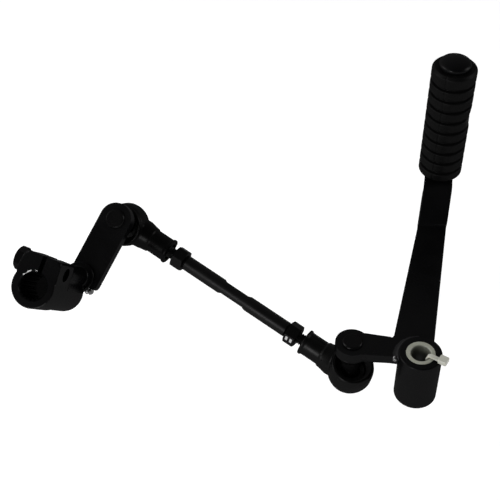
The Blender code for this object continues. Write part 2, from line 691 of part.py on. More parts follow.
def build_hexagon(name, across_flats, low, high, frame, material, local=None, hole=0.0,
                  chamfer_both=True, turn=0.0):
    """A hexagon nut or head: a prism trimmed by a chamfer cone, with an optional bore."""
    corner = across_flats / math.sqrt(3)
    drop = (corner - across_flats / 2) * 1.1
    nut = prism(name, hexagon(across_flats, turn), low, high, frame, material, local)
    low_edge = [(corner + 1 * MM, low), (0, low)]
    if chamfer_both:
        low_edge = [(corner + 0.1 * MM, low + drop * 0.6), (across_flats * 0.46, low), (0, low)]
    keep_common(nut, turned(name + "_chamfer",
                            [(0, high), (across_flats * 0.46, high),
                             (corner + 0.1 * MM, high - drop * 0.6)] + low_edge,
                            frame, None, local, steps=24))
    if hole:
        cut(nut, cylinder(name + "_bore", hole, low - 2 * MM, high + 2 * MM, frame, local, steps=20))
    return nut


def build_tie_rod():
    body, thread = ROD_BODY_DIAMETER / 2, THREAD_DIAMETER / 2
    reach = SLEEVE_END - THREAD_ENGAGEMENT
    high_end = BALL_TO_BALL - reach
    edge = 0.5 * MM
    rod = turned("tie_rod",
                 [(0, high_end), (thread - edge, high_end), (thread, high_end - edge),
                  (thread, ROD_BODY_END + edge), (body - edge, ROD_BODY_END),
                  (body, ROD_BODY_END - edge), (body, ROD_BODY_START + edge),
                  (body - edge, ROD_BODY_START), (thread, ROD_BODY_START - edge),
                  (thread, reach + edge), (thread - edge, reach), (0, reach)],
                 LINK, PLATED)
    middle = ROD_BODY_START + ROD_FLATS_START + ROD_FLATS_LENGTH / 2
    half = ROD_FLATS_LENGTH / 2
    depth = ROD_BODY_DIAMETER
    flare = ROD_FLATS_RUNOUT * depth / (body - ROD_FLATS_ACROSS / 2)
    outline = [(-half - flare, depth), (-half, 0), (half, 0), (half + flare, depth)]
    for number, turn in ((1, ROD_FLATS_TURN), (2, ROD_FLATS_TURN + math.pi)):
        flat_at = (Matrix.Rotation(turn, 4, "Z")
                   @ axes_matrix((0, ROD_FLATS_ACROSS / 2, middle), (-1, 0, 0), (0, 0, 1)))
        cut(rod, prism("flat_%d" % number, outline, -depth, depth, LINK, local=flat_at))
    nut_hole = THREAD_DIAMETER + 2 * THREAD_CLEARANCE
    low = ROD_BODY_START - SEAT_GAP
    build_hexagon("right_lock_nut", NUT_ACROSS_FLATS, low - NUT_THICKNESS, low, LINK, PLATED,
                  hole=nut_hole, turn=RIGHT_NUT_TURN)
    high = ROD_BODY_END + SEAT_GAP
    build_hexagon("left_lock_nut", NUT_ACROSS_FLATS, high, high + NUT_THICKNESS, LINK, PLATED,
                  hole=nut_hole, turn=LEFT_NUT_TURN)


# Clamp arm

def build_clamp_plate():
    """The flat arm: a round end over the ball stud and a squared lower end."""
    half = EYE_DIAMETER / 2
    low = -ARM_PLATE_LENGTH
    outline = arc((0, 0), half, 0.0, math.pi, 14)
    outline += arc((-half + ARM_PLATE_CORNER, low + ARM_PLATE_CORNER), ARM_PLATE_CORNER,
                   math.pi, 1.5 * math.pi, 4)
    outline += arc((half - ARM_PLATE_CORNER, low + ARM_PLATE_CORNER), ARM_PLATE_CORNER,
                   1.5 * math.pi, 2 * math.pi, 4)
    plate = prism("clamp_plate", outline, STUD_REACH, STUD_REACH + PLATE_THICKNESS, CLAMP, PAINTED)
    round_edges(plate, PLATE_EDGE)
    cut(plate, cylinder("clamp_stud_hole", SHANK_DIAMETER + 2 * RIVET_CLEARANCE, 0,
                        2 * STUD_REACH, CLAMP))


def clamp_outline():
    """The clamp's front face: a round bottom that runs up into two square ears."""
    half, top, radius = CLAMP_EAR_HALF_WIDTH, CLAMP_EAR_HEIGHT, CLAMP_RADIUS
    leave = math.acos(half / radius)
    bottom = arc((0, 0), radius, math.pi - leave, 2 * math.pi + leave, 18)
    corner = CLAMP_EAR_CORNER
    right = arc((half - corner, top - corner), corner, 0.0, math.pi / 2, 3)
    left = arc((-half + corner, top - corner), corner, math.pi / 2, math.pi, 3)
    return bottom + right + left


def spline_outline():
    """The bore's section: straight-sided serrations round the root circle."""
    root, tip = CLAMP_BORE / 2, CLAMP_BORE / 2 - CLAMP_SPLINE_DEPTH
    step = 2 * math.pi / CLAMP_SPLINES
    points = []
    for i in range(CLAMP_SPLINES):
        for share, radius in ((0.0, tip), (0.18, tip), (0.42, root), (0.76, root)):
            angle = (i + share) * step
            points.append((radius * math.cos(angle), radius * math.sin(angle)))
    return points


def build_clamp_boss():
    back = STUD_REACH + PLATE_THICKNESS + SEAT_GAP
    front = back + CLAMP_LENGTH
    ear_back = front - CLAMP_EAR_LENGTH
    at_clamp = clamp_placement()
    boss = prism("clamp_boss", clamp_outline(), ear_back, front, CLAMP, PAINTED, at_clamp)
    round_edges(boss, CLAMP_EDGE)
    overlap = 2 * MM
    join(boss, turned("clamp_tube",
                      [(0, ear_back + overlap), (CLAMP_RADIUS - 0.4 * MM, ear_back + overlap),
                       (CLAMP_RADIUS - 0.4 * MM, back + CLAMP_EDGE),
                       (CLAMP_RADIUS - 0.4 * MM - CLAMP_EDGE, back), (0, back)],
                      CLAMP, None, at_clamp))
    neck, pad = CLAMP_NECK_DIAMETER / 2, CLAMP_NECK_PAD_DIAMETER / 2
    flare = [(neck + (pad - neck) * (1 - math.sin(a)), back + CLAMP_NECK_FLARE * (1 - math.cos(a)))
             for a in (math.radians(d) for d in (90, 68, 45, 22, 0))]
    neck_at = at_clamp @ Matrix.Translation((CLAMP_NECK_X, CLAMP_NECK_Y, 0))
    join(boss, turned("clamp_neck", [(0, ear_back + overlap), (neck, ear_back + overlap)] + flare
                      + [(0, back)], CLAMP, None, neck_at))
    slot_at = at_clamp @ Matrix.Translation((CLAMP_SLOT_OFFSET, CLAMP_EAR_HEIGHT,
                                             front - CLAMP_EAR_LENGTH / 2 + 1 * MM))
    slot_size = (CLAMP_SLOT_WIDTH, 2 * (CLAMP_EAR_HEIGHT - 2 * MM), CLAMP_EAR_LENGTH + 4 * MM)
    cut(boss, box("clamp_slot", slot_size, CLAMP, slot_at))
    cut(boss, cylinder("bolt_hole", BOLT_HOLE_DIAMETER, -20 * MM, 20 * MM, CLAMP,
                       bolt_placement()))
    cut(boss, cylinder("clamp_bore", CLAMP_BORE, back - 2 * MM, front - CLAMP_SPLINE_LENGTH + 0.1 * MM,
                       CLAMP, at_clamp, steps=32))
    cut(boss, prism("clamp_splines", spline_outline(), front - CLAMP_SPLINE_LENGTH,
                    front + 2 * MM, CLAMP, local=at_clamp))
    mouth = CLAMP_BORE / 2
    cut(boss, turned("clamp_mouth", [(0, front + 2 * MM), (mouth + CLAMP_BORE_CHAMFER + 2 * MM, front + 2 * MM),
                                     (mouth - 0.1 * MM, front - CLAMP_BORE_CHAMFER - 0.1 * MM),
                                     (0, front - CLAMP_BORE_CHAMFER - 0.1 * MM)], CLAMP, None, at_clamp,
                     steps=32))


def clamp_placement():
    """The clamp's bore axis, turned so that its ears face the way they do."""
    return Matrix.Translation((CLAMP_X, CLAMP_Y, 0)) @ Matrix.Rotation(CLAMP_TURN, 4, "Z")


def bolt_placement():
    """The pinch bolt's axis, with +Z towards the bolt's head."""
    front = STUD_REACH + PLATE_THICKNESS + SEAT_GAP + CLAMP_LENGTH
    return clamp_placement() @ axes_matrix((0, BOLT_HEIGHT, front - BOLT_FROM_FACE),
                                           (-1, 0, 0), (0, 1, 0))


def build_pinch_bolt():
    bolt_at = bolt_placement()
    face = CLAMP_EAR_HALF_WIDTH + SEAT_GAP
    head_low = face + WASHER_THICKNESS + SEAT_GAP
    shaft = BOLT_DIAMETER / 2
    end = -CLAMP_EAR_HALF_WIDTH + BOLT_END_INSET
    turned("pinch_washer", [(WASHER_DIAMETER / 2, head_low - SEAT_GAP), (WASHER_DIAMETER / 2, face),
                            (shaft + SEAT_GAP, face), (shaft + SEAT_GAP, head_low - SEAT_GAP)],
           CLAMP, PLATED, bolt_at, ring=True)
    bolt = build_hexagon("pinch_bolt", BOLT_HEAD_ACROSS_FLATS, head_low,
                         head_low + BOLT_HEAD_HEIGHT, CLAMP, PLATED, bolt_at,
                         chamfer_both=False, turn=BOLT_HEAD_TURN)
    join(bolt, turned("bolt_shaft", [(0, head_low + 1 * MM), (shaft, head_low + 1 * MM),
                                     (shaft, end + 0.6 * MM), (shaft - 0.6 * MM, end), (0, end)],
                      CLAMP, None, bolt_at, steps=20))


def build_clamp_weld():
    """The bead that joins the plate's lower edge to the top of the clamp tube."""
    back = STUD_REACH + PLATE_THICKNESS
    _, depth, thick = CLAMP_WELD_SIZE
    at = Matrix.Translation((CLAMP_WELD_X, -ARM_PLATE_LENGTH - SEAT_GAP - depth / 2,
                             back - thick / 2))
    box("clamp_weld", CLAMP_WELD_SIZE, CLAMP, at, WELDED, edge=CLAMP_WELD_EDGE)


def build_cable_tie():
    """A cut-off nylon tie: its strap rises out of the bore and its head rests on the rim."""
    heading = direction(TIE_HEADING, 0.0)
    across = Vector((-heading.y, heading.x, 0))
    bore = BUSH_BORE / 2 - 2 * SEAT_GAP - TIE_THICKNESS / 2
    over = BOSS_HEIGHT + SEAT_GAP + TIE_THICKNESS / 2
    head_x = BOSS_OD / 2 + 0.4 * MM
    path = [(bore, BOSS_HEIGHT - TIE_DEPTH), (bore, over - 2.2 * MM), (bore + 0.4 * MM, over - 0.8 * MM),
            (bore + 1.3 * MM, over + 0.1 * MM), (bore + 2.6 * MM, over + 0.2 * MM), (head_x, over)]
    mesh = bpy.data.meshes.new("cable_tie")
    edit = bmesh.new()
    rings = []
    for i, (r, z) in enumerate(path):
        before, after = Vector(path[max(i - 1, 0)]), Vector(path[min(i + 1, len(path) - 1)])
        run = (after - before).normalized()
        side = Vector((-run.y, run.x)) * TIE_THICKNESS / 2
        corners = []
        for edge, lift in ((-1, -1), (1, -1), (1, 1), (-1, 1)):
            spot = heading * (r + lift * side.x) + across * (edge * TIE_WIDTH / 2)
            spot.z = z + lift * side.y
            corners.append(edit.verts.new(spot))
        rings.append(corners)
    for a, b in zip(rings, rings[1:]):
        for k in range(4):
            edit.faces.new((a[k], a[(k + 1) % 4], b[(k + 1) % 4], b[k]))
    edit.faces.new(rings[0])
    edit.faces.new(rings[-1])
    bmesh.ops.recalc_face_normals(edit, faces=edit.faces)
    edit.to_mesh(mesh)
    edit.free()
    tie = add_object("cable_tie", mesh, LEVER, material=NYLON)
    head_centre = heading * (head_x + 0.6 * MM) + Vector((0, 0, BOSS_HEIGHT + SEAT_GAP + TIE_HEAD[2] / 2))
    head_at = axes_matrix(head_centre, (0, 0, 1), heading)
    join(tie, box("tie_head", TIE_HEAD, LEVER, head_at))


clear_scene()
PARTS = make_collection("gear_shift_lever")
CUTTERS = make_collection("cutters")

PAINTED = make_material("black_paint", (0.012, 0.012, 0.013), 0.35)
PLATED = make_material("black_plating", (0.02, 0.02, 0.022), 0.3, 0.6)
DARK_STEEL = make_material("dark_cap", (0.01, 0.01, 0.01), 0.5, 0.3)
WELDED = make_material("painted_weld", (0.014, 0.014, 0.015), 0.2)
RUBBER = make_material("black_rubber", (0.015, 0.015, 0.015), 0.7)
NYLON = make_material("white_nylon", (0.85, 0.85, 0.82), 0.45)
DARK_NYLON = make_material("dark_nylon", (0.02, 0.02, 0.02), 0.5)

LEVER = make_frame("lever_pivot", (0, 0, 0), (0, 0, 1), (1, 0, 0))
right_ball = Vector((STUD_X, STUD_Y, BALL_Z))
RIGHT_STUD = make_frame("right_ball_centre", right_ball, (0, 0, 1), (1, 0, 0))
rod_axis = direction(LINK_HEADING, LINK_CLIMB)
upright = Matrix.Rotation(LINK_ROLL, 3, rod_axis) @ Vector((0, 0, 1))
LINK = make_frame("tie_rod_axis", right_ball, rod_axis, upright)
left_ball = right_ball + rod_axis * BALL_TO_BALL
clamp_axis = direction(CLAMP_HEADING, CLAMP_RISE)
uphill = Vector((0, 0, 1)) - clamp_axis * clamp_axis.z
across_hill = Matrix.Rotation(CLAMP_SPIN - math.pi / 2, 3, clamp_axis) @ uphill
CLAMP = make_frame("left_ball_centre", left_ball, clamp_axis, across_hill)

build_lever_plate()
build_pivot_boss()
build_bushes()
build_pivot_welds()
build_pedal()
build_ball_stud("right_ball_stud", RIGHT_STUD)
build_dust_seal("right_dust_seal", RIGHT_STUD)
build_rod_end("right", LINK, 0.0, 1)
build_tie_rod()
far_end = make_frame("left_rod_end_centre", left_ball, rod_axis, upright)
build_rod_end("left", far_end, LEFT_END_TWIST, -1)
build_dust_seal("left_dust_seal", CLAMP)
build_ball_stud("left_ball_stud", CLAMP)
build_clamp_plate()
build_clamp_boss()
build_clamp_weld()
build_pinch_bolt()
build_cable_tie()
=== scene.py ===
# %% [markdown]
# # A motorcycle gear shift lever
#
# The rider's toe lifts or presses the ribbed rubber at the top right. The long flat bar
# turns about the pivot boss, its short arm pulls a tie rod through a ball joint, and the
# rod's far ball joint turns a splined clamp on the gearbox shaft. This lesson dresses a
# finished engineering model of that linkage: it keeps every size and every joint, and
# gives each piece its real edges, welds, threads and finishes.

# %% [markdown]
# ## Load the model
#
# The model comes in as a fixed frame of separate pieces, each riding on the body that
# moves it.

# %% Load the frame
import json
from math import acos, asin, atan2, cos, degrees, hypot, pi, radians, remainder, sin, sqrt, tan

import bmesh
import bpy
import numpy as np
from mathutils import Matrix, Vector


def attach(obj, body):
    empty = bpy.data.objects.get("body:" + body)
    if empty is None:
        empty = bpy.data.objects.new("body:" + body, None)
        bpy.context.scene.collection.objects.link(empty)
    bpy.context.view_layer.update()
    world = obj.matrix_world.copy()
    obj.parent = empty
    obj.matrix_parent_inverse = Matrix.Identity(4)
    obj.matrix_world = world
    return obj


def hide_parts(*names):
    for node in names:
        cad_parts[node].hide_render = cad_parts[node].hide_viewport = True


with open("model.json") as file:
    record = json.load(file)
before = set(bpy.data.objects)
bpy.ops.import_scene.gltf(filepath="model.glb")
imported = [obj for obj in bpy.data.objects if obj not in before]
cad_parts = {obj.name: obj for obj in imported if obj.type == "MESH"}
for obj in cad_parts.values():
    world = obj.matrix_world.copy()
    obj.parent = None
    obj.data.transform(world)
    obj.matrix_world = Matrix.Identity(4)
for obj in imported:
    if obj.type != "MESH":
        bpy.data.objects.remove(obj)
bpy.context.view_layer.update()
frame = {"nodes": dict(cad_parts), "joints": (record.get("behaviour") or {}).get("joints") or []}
scene = bpy.context.scene
MM = 0.001

# %% [markdown]
# ## The lines that everything is built on
#
# A linkage is easiest to build on its own centre lines: the pivot axis, the line from
# ball to ball along the tie rod, and the axis of the splined clamp. The joints of the
# model already hold them, so they are read from there and not typed again.

# %% Centre lines
joints = {joint["name"]: joint for joint in frame["joints"]}


def centre_line(name):
    """A joint's centre and its axis."""
    return Vector(joints[name]["pos_m"]), Vector(joints[name]["axis"]).normalized()


def on_axes(origin, z_axis, x_hint):
    """A placement with its Z axis and the nearest X axis as given."""
    z = Vector(z_axis).normalized()
    x = Vector(x_hint)
    x = (x - z * x.dot(z)).normalized()
    place = Matrix((x, z.cross(x), z)).transposed().to_4x4()
    place.translation = Vector(origin)
    return place


def shift(x, y, z):
    """A move in millimetres."""
    return Matrix.Translation((x * MM, y * MM, z * MM))


right_ball, lever_up = centre_line("right_turn")
left_ball, rod_run = centre_line("left_tilt")
_, clamp_axis = centre_line("left_turn")
rod_length = (left_ball - right_ball).length / MM
print("ball to ball: %.1f mm" % rod_length)

# %% Placements
HOUSING_ROLL = radians(-8.0)
LEFT_HOUSING_TWIST = radians(-44.0)
CLAMP_SPIN = radians(-16.4)
CLAMP_TURN = radians(7.8)
PEDAL_X, PEDAL_Y = 22.0, 115.0
CLAMP_X, CLAMP_Y = -5.2, -42.3

at_pivot = Matrix.Identity(4)
at_pedal = shift(PEDAL_X, PEDAL_Y, 0)
at_right_stud = on_axes(right_ball, lever_up, (1, 0, 0))
upright = Matrix.Rotation(HOUSING_ROLL, 3, rod_run) @ Vector((0, 0, 1))
at_rod = on_axes(right_ball, rod_run, upright)
right_face = at_rod.col[0].to_3d()
left_face = Matrix.Rotation(LEFT_HOUSING_TWIST, 3, rod_run) @ right_face
at_right_housing = on_axes(right_ball, right_face, rod_run)
at_left_housing = on_axes(left_ball, left_face, -rod_run)
at_right_neck = on_axes(right_ball, rod_run, right_face)
at_left_neck = on_axes(left_ball, -rod_run, left_face)
uphill = Vector((0, 0, 1)) - clamp_axis * clamp_axis.z
across = Matrix.Rotation(CLAMP_SPIN - pi / 2, 3, clamp_axis) @ uphill
at_clamp_arm = on_axes(left_ball, clamp_axis, across)
at_bore = at_clamp_arm @ shift(CLAMP_X, CLAMP_Y, 0) @ Matrix.Rotation(CLAMP_TURN, 4, "Z")
print("clamp bore at", [round(v / MM, 1) for v in at_bore.translation])

# %% [markdown]
# ## The camera
#
# The picture was taken from in front and 45 degrees above with a long lens, so the
# object shows little perspective. A camera can be placed by eye, but matching known
# points of the object, such as the two balls and the boss, gives one exact place. The
# small roll is how far the real camera leaned.

# %% Camera
CAMERA_RISE = radians(45.43)
CAMERA_ROLL = radians(0.57)
CAMERA_DISTANCE = 0.5911
LOOK_AT = Vector((-0.07699, 0.0951, 0.0))

view_line = Vector((0, cos(CAMERA_RISE), -sin(CAMERA_RISE)))
level_right = Vector((1, 0, 0))
level_up = Vector((0, sin(CAMERA_RISE), cos(CAMERA_RISE)))
frame_right = level_right * cos(CAMERA_ROLL) - level_up * sin(CAMERA_ROLL)
frame_up = level_right * sin(CAMERA_ROLL) + level_up * cos(CAMERA_ROLL)

lens = bpy.data.cameras.new("long_lens")
lens.sensor_width = 36
lens.lens = 80
lens.clip_start = 0.01
camera = bpy.data.objects.new("camera", lens)
scene.collection.objects.link(camera)
camera.matrix_world = Matrix((frame_right, frame_up, -view_line)).transposed().to_4x4()
camera.matrix_world.translation = LOOK_AT - view_line * CAMERA_DISTANCE
scene.camera = camera
print("camera at", [round(v, 3) for v in camera.matrix_world.translation])

# %% [markdown]
# ## Floor, room and softboxes
#
# Black parts are pictured by what they mirror. Here the floor and the back of the room
# are white, and the room is dark above and behind the camera: what faces the camera goes
# nearly black, and upright walls catch a soft grey sheen from the floor. The softbox at
# the front left draws the bright line along the rod, and two more open the sides. The
# floor is a real matt surface, so it keeps the shadow, and a little glow that only the
# camera and reflections see lifts its lit part to white. It lies low enough for the tie
# rod to swing down to its limit.

# %% Node helpers
def add_node(tree, kind, inputs=None, **settings):
    """A node with its settings, and its input sockets set or linked."""
    node = tree.nodes.new("ShaderNode" + kind)
    for key, value in settings.items():
        setattr(node, key, value)
    for key, value in (inputs or {}).items():
        if isinstance(value, bpy.types.NodeSocket):
            tree.links.new(value, node.inputs[key])
        else:
            node.inputs[key].default_value = value
    return node


def maths(operation, *values):
    """One step of arithmetic, of which the first value is a socket."""
    inputs = dict(enumerate(values))
    return add_node(values[0].id_data, "Math", inputs, operation=operation).outputs[0]


def reach_along(where, way):
    """How far a point lies along a direction."""
    inputs = {0: where, 1: way}
    return add_node(where.id_data, "VectorMath", inputs, operation="DOT_PRODUCT").outputs["Value"]


def spread(value, low, high, to_low=0.0, to_high=1.0):
    """Stretch part of a value's range over a new range."""
    inputs = {"Value": value, "From Min": low, "From Max": high, "To Min": to_low, "To Max": to_high}
    return add_node(value.id_data, "MapRange", inputs).outputs["Result"]


def blend_colour(share, first, second):
    """A colour between two, by a share."""
    inputs = {"Factor": share, "A": first, "B": second}
    return add_node(share.id_data, "Mix", inputs, data_type="RGBA").outputs["Result"]


def seen_directly(tree):
    """1 for rays from the camera, a mirror or through glass, 0 for rays that light."""
    path = add_node(tree, "LightPath")
    first = maths("MAXIMUM", path.outputs["Is Camera Ray"], path.outputs["Is Glossy Ray"])
    return maths("MAXIMUM", first, path.outputs["Is Transmission Ray"])


# %% Floor
LOWEST_REACH = 46.5 * MM
FLOOR_REACH, FLOOR_GREY, FLOOR_GLOW = 2.5, 0.76, 0.43

floor_mesh = bpy.data.meshes.new("floor")
floor_mesh.from_pydata([(x * FLOOR_REACH, y * FLOOR_REACH, -LOWEST_REACH)
                        for x, y in ((-1, -1), (1, -1), (1, 1), (-1, 1))], [], [(0, 1, 2, 3)])
floor = bpy.data.objects.new("floor", floor_mesh)
scene.collection.objects.link(floor)

matt_white = bpy.data.materials.new("matt_white_floor")
matt_white.use_nodes = True
tree = matt_white.node_tree
tree.nodes.clear()
paper = add_node(tree, "BsdfDiffuse", {"Color": (FLOOR_GREY, FLOOR_GREY, FLOOR_GREY, 1)})
glow_share = maths("MULTIPLY", seen_directly(tree), FLOOR_GLOW)
glow = add_node(tree, "Emission", {"Color": (1, 1, 1, 1), "Strength": glow_share})
both = add_node(tree, "AddShader", {0: paper.outputs[0], 1: glow.outputs[0]})
add_node(tree, "OutputMaterial", {"Surface": both.outputs[0]})
floor_mesh.materials.append(matt_white)
print("floor at %.2f mm" % (-LOWEST_REACH / MM))

# %% Room
BRIGHT_SIDE = Vector((-0.35, 0.50, -0.79)).normalized()
ROOM_GREYS = ((0.0, 0.08), (0.40, 0.48), (0.65, 1.0))

room = bpy.data.worlds.new("light_tent")
scene.world = room
room.use_nodes = True
tree = room.node_tree
tree.nodes.clear()
way = add_node(tree, "TexCoord").outputs["Generated"]
share = spread(reach_along(way, BRIGHT_SIDE), -1.0, 1.0)
tent = add_node(tree, "ValToRGB", {"Fac": share})
tent.color_ramp.elements.new(0.40)
for stop, (position, grey) in zip(tent.color_ramp.elements, ROOM_GREYS):
    stop.position = position
    stop.color = (grey, grey, grey, 1)
rise = add_node(tree, "SeparateXYZ", {0: way}).outputs["Z"]
sky = blend_colour(spread(rise, 0.08, 0.20), (1, 1, 1, 1), tent.outputs["Color"])
light = add_node(tree, "Background", {"Color": sky, "Strength": 1.0})
add_node(tree, "OutputWorld", {"Surface": light.outputs[0]})
print("bright side of the room:", [round(v, 2) for v in BRIGHT_SIDE])

# %% Softboxes
LIT_POINT = Vector((-0.075, 0.06, 0.02))


def softbox(name, place, size, energy):
    """A rectangular lamp that looks at the object."""
    lamp = bpy.data.lights.new(name, "AREA")
    lamp.shape = "RECTANGLE"
    lamp.size, lamp.size_y = size
    lamp.energy = energy
    box = bpy.data.objects.new(name, lamp)
    scene.collection.objects.link(box)
    box.location = place
    box.rotation_euler = (LIT_POINT - Vector(place)).to_track_quat("-Z", "Y").to_euler()


softbox("front_left_softbox", (-0.60, -0.76, 0.36), (0.35, 0.4), 5.5)
softbox("left_softbox", (-0.95, 0.12, 0.50), (0.45, 0.6), 5.0)
softbox("right_softbox", (0.80, 0.10, 0.45), (0.4, 0.55), 3.5)
scene.view_settings.view_transform = "Standard"

# %% [markdown]
# ## Black paint
#
# The plate, the boss and the clamp arm wear one thin coat of black paint over raw steel.
# It could be a flat black, but close up such paint has a faint orange peel, dust caught
# in it, cloudy gloss, and edges where it is drawn thin and rubbed. Each of these is one
# noise at its real scale, and the Bevel node finds the edges. The shine is a faint coat
# over a dull base.

# %% Material helpers
def open_finish(material):
    """A material's tree, its shader and the coordinates on its own piece."""
    tree = material.node_tree
    return tree, tree.nodes["Principled BSDF"], add_node(tree, "TexCoord").outputs["Object"]


def new_finish(name):
    """A new material and what its finish is built on."""
    material = bpy.data.materials.new(name)
    material.use_nodes = True
    return material, *open_finish(material)


def feed(shader, name, socket):
    """Link a socket into one of a shader's inputs."""
    shader.id_data.links.new(socket, shader.inputs[name])


def grain(where, size, detail=2.0):
    """Noise whose grains are about this many millimetres across."""
    inputs = {"Vector": where, "Scale": 1000.0 / size, "Detail": detail}
    return add_node(where.id_data, "TexNoise", inputs).outputs["Fac"]


def times(first, second):
    return maths("MULTIPLY", first, second)


def off_by(value, spot):
    """How far a value is from a spot, which is in millimetres."""
    return maths("ABSOLUTE", maths("SUBTRACT", value, spot * MM))


def bumped(height, depth, under=None):
    """Turn a height into relief of this many millimetres."""
    inputs = {"Height": height, "Distance": depth * MM, "Strength": 1.0}
    if under:
        inputs["Normal"] = under
    return add_node(height.id_data, "Bump", inputs).outputs["Normal"]


def edge_share(tree, width):
    """1 on edges sharper than this width in millimetres, 0 on open faces."""
    soft = add_node(tree, "Bevel", {"Radius": width * MM}, samples=6).outputs[0]
    hard = add_node(tree, "NewGeometry").outputs["Normal"]
    return spread(reach_along(soft, hard), 0.995, 0.90)


def thin_sheen(shader, weight, gloss, relief):
    """A faint coat over a dull base: its shine grows little towards the outline."""
    shader.inputs["Specular IOR Level"].default_value = 0.0
    shader.inputs["Coat Weight"].default_value = weight
    shader.inputs["Coat IOR"].default_value = 2.5
    for coat in ("", "Coat "):
        feed(shader, coat + "Roughness", gloss)
        feed(shader, coat + "Normal", relief)


def near_axis(where, radius, low):
    """1 for points nearer the Z axis than a radius and higher than low, in millimetres."""
    blur, tree = 0.05, where.id_data
    flat = add_node(tree, "VectorMath", {0: where, 1: (1, 1, 0)}, operation="MULTIPLY")
    out = add_node(tree, "VectorMath", {0: flat.outputs["Vector"]}, operation="LENGTH")
    height = add_node(tree, "SeparateXYZ", {0: where}).outputs["Z"]
    inside = spread(out.outputs["Value"], (radius - blur) * MM, (radius + blur) * MM, 1.0, 0.0)
    return times(inside, spread(height, (low - blur) * MM, (low + blur) * MM))


def cover(shader, share, grey):
    """A grey over a finish's own colour, where share is 1."""
    under = shader.inputs["Base Color"].links[0].from_socket
    feed(shader, "Base Color", blend_colour(share, under, (grey, grey, grey, 1)))


def show_metal(shader, share, grey=0.5):
    """Bare metal over a finish, where share is 1."""
    cover(shader, share, grey)
    feed(shader, "Metallic", share)


# %% Black paint
def tinted(tone, *colour):
    return (*(tone * part for part in colour), 1)


def black_paint(name, tone=1.0, gloss=0.23, peel=0.03, sheen=0.032, wear=0.4):
    material, tree, shader, where = new_finish(name)
    cloud = grain(where, 14.0, 3.0)
    specks = spread(grain(where, 0.55, 1.0), 0.70, 0.78)
    patches = spread(grain(where, 1.6, 4.0), 0.42, 0.70)
    rubbed = times(edge_share(tree, 0.5), patches)
    coat = blend_colour(cloud, tinted(tone, 0.0008, 0.0008, 0.0009),
                        tinted(tone, 0.0013, 0.0013, 0.0014))
    dusty = blend_colour(times(specks, 0.4), coat, (0.008, 0.008, 0.007, 1))
    worn = blend_colour(times(rubbed, wear), dusty, (0.012, 0.012, 0.013, 1))
    feed(shader, "Base Color", worn)
    rough = spread(cloud, 0.3, 0.7, gloss - 0.05, gloss + 0.07)
    skin = bumped(grain(where, 1.3), peel)
    fine = bumped(grain(where, 0.22), 0.006, under=skin)
    thin_sheen(shader, sheen, rough, fine)
    return material


plate_paint = black_paint("black_plate_paint", tone=1.4, gloss=0.27)
forging_paint = black_paint("black_forging_paint", tone=1.2, gloss=0.22, peel=0.04, wear=0.1)
# The fillet's lighter paint is a painted highlight for the sheen on its hollow face.
fillet_painted_highlight = black_paint("black_fillet_paint", tone=6.5, gloss=0.34, peel=0.1, sheen=0.07)
bead_paint = black_paint("black_bead_paint", tone=2.0, gloss=0.14, sheen=0.5)

# The bore's chamfer has lost its paint in patches. Inside the bore the coat is thinned so
# it mirrors less: painted shade for the deep bore.
BORE_RADIUS, CHAMFER_RADIUS, CHAMFER_START = 6.75, 7.3, 62.05
tree, shader, where = open_finish(forging_paint)
upper = spread(reach_along(where, (-0.5, 0.87, 0)), 5.2 * MM, 5.6 * MM)
chamfer = times(near_axis(where, CHAMFER_RADIUS, CHAMFER_START), upper)
show_metal(shader, times(chamfer, spread(grain(where, 2.0), 0.50, 0.55)))
bore_shade_coat = spread(near_axis(where, BORE_RADIUS, 0.0), 0.0, 1.0, 0.030, 0.008)
feed(shader, "Coat Weight", bore_shade_coat)

# Spatter on the clamp's weld has stayed bright.
tree, shader, where = open_finish(bead_paint)
show_metal(shader, spread(grain(where, 1.6), 0.58, 0.62))
print("paints:", [m.name for m in bpy.data.materials if "paint" in m.name])

# %% [markdown]
# ## Blackened steel
#
# Rod, nuts, studs and washer are machined and then blackened, so the turning marks still
# show as fine rings round each axis and the metal mirrors its surroundings darkly. The
# rings are a Wave texture along the piece's own axis, which is why every turned piece is
# built standing on its Z axis.

# %% Blackened steel
def black_steel(name, gloss, sheen, tone=0.0014, ring=0.35):
    material, tree, shader, where = new_finish(name)
    cloud = grain(where, 7.0, 3.0)
    patches = spread(grain(where, 1.1, 3.0), 0.4, 0.68)
    rubbed = times(edge_share(tree, 0.35), patches)
    oxide = blend_colour(cloud, tinted(tone, 0.75, 0.75, 0.78), tinted(tone, 1.25, 1.24, 1.22))
    worn = blend_colour(times(rubbed, 0.6), oxide, tinted(tone, 8, 8, 8.2))
    feed(shader, "Base Color", worn)
    rough = spread(cloud, 0.3, 0.7, gloss - 0.05, gloss + 0.07)
    rings = {"Vector": where, "Scale": 1000.0 / ring / 6.28, "Distortion": 1.2, "Detail": 2.0,
             "Detail Scale": 3.0}
    turning = add_node(tree, "TexWave", rings, wave_type="BANDS", bands_direction="Z")
    marks = bumped(turning.outputs["Fac"], 0.004)
    pits = bumped(grain(where, 0.5), 0.012, under=marks)
    thin_sheen(shader, sheen, rough, pits)
    return material


rod_steel = black_steel("black_rod_steel", 0.38, 0.047)
nut_steel = black_steel("black_nut_steel", 0.24, 0.036, ring=0.5)
stud_steel = black_steel("black_stud_steel", 0.25, 0.030)
forged_steel = black_steel("black_forged_steel", 0.27, 0.034, ring=0.9)
rubbed_nut_steel = black_steel("rubbed_nut_steel", 0.24, 0.036, ring=0.5)
# A darker copy of the forged steel, with less sheen, is painted shade on the left rod end and the
# pinch bolt.
shaded_forged_steel = black_steel("shaded_forged_steel", 0.28, 0.021, tone=0.0010, ring=0.9)

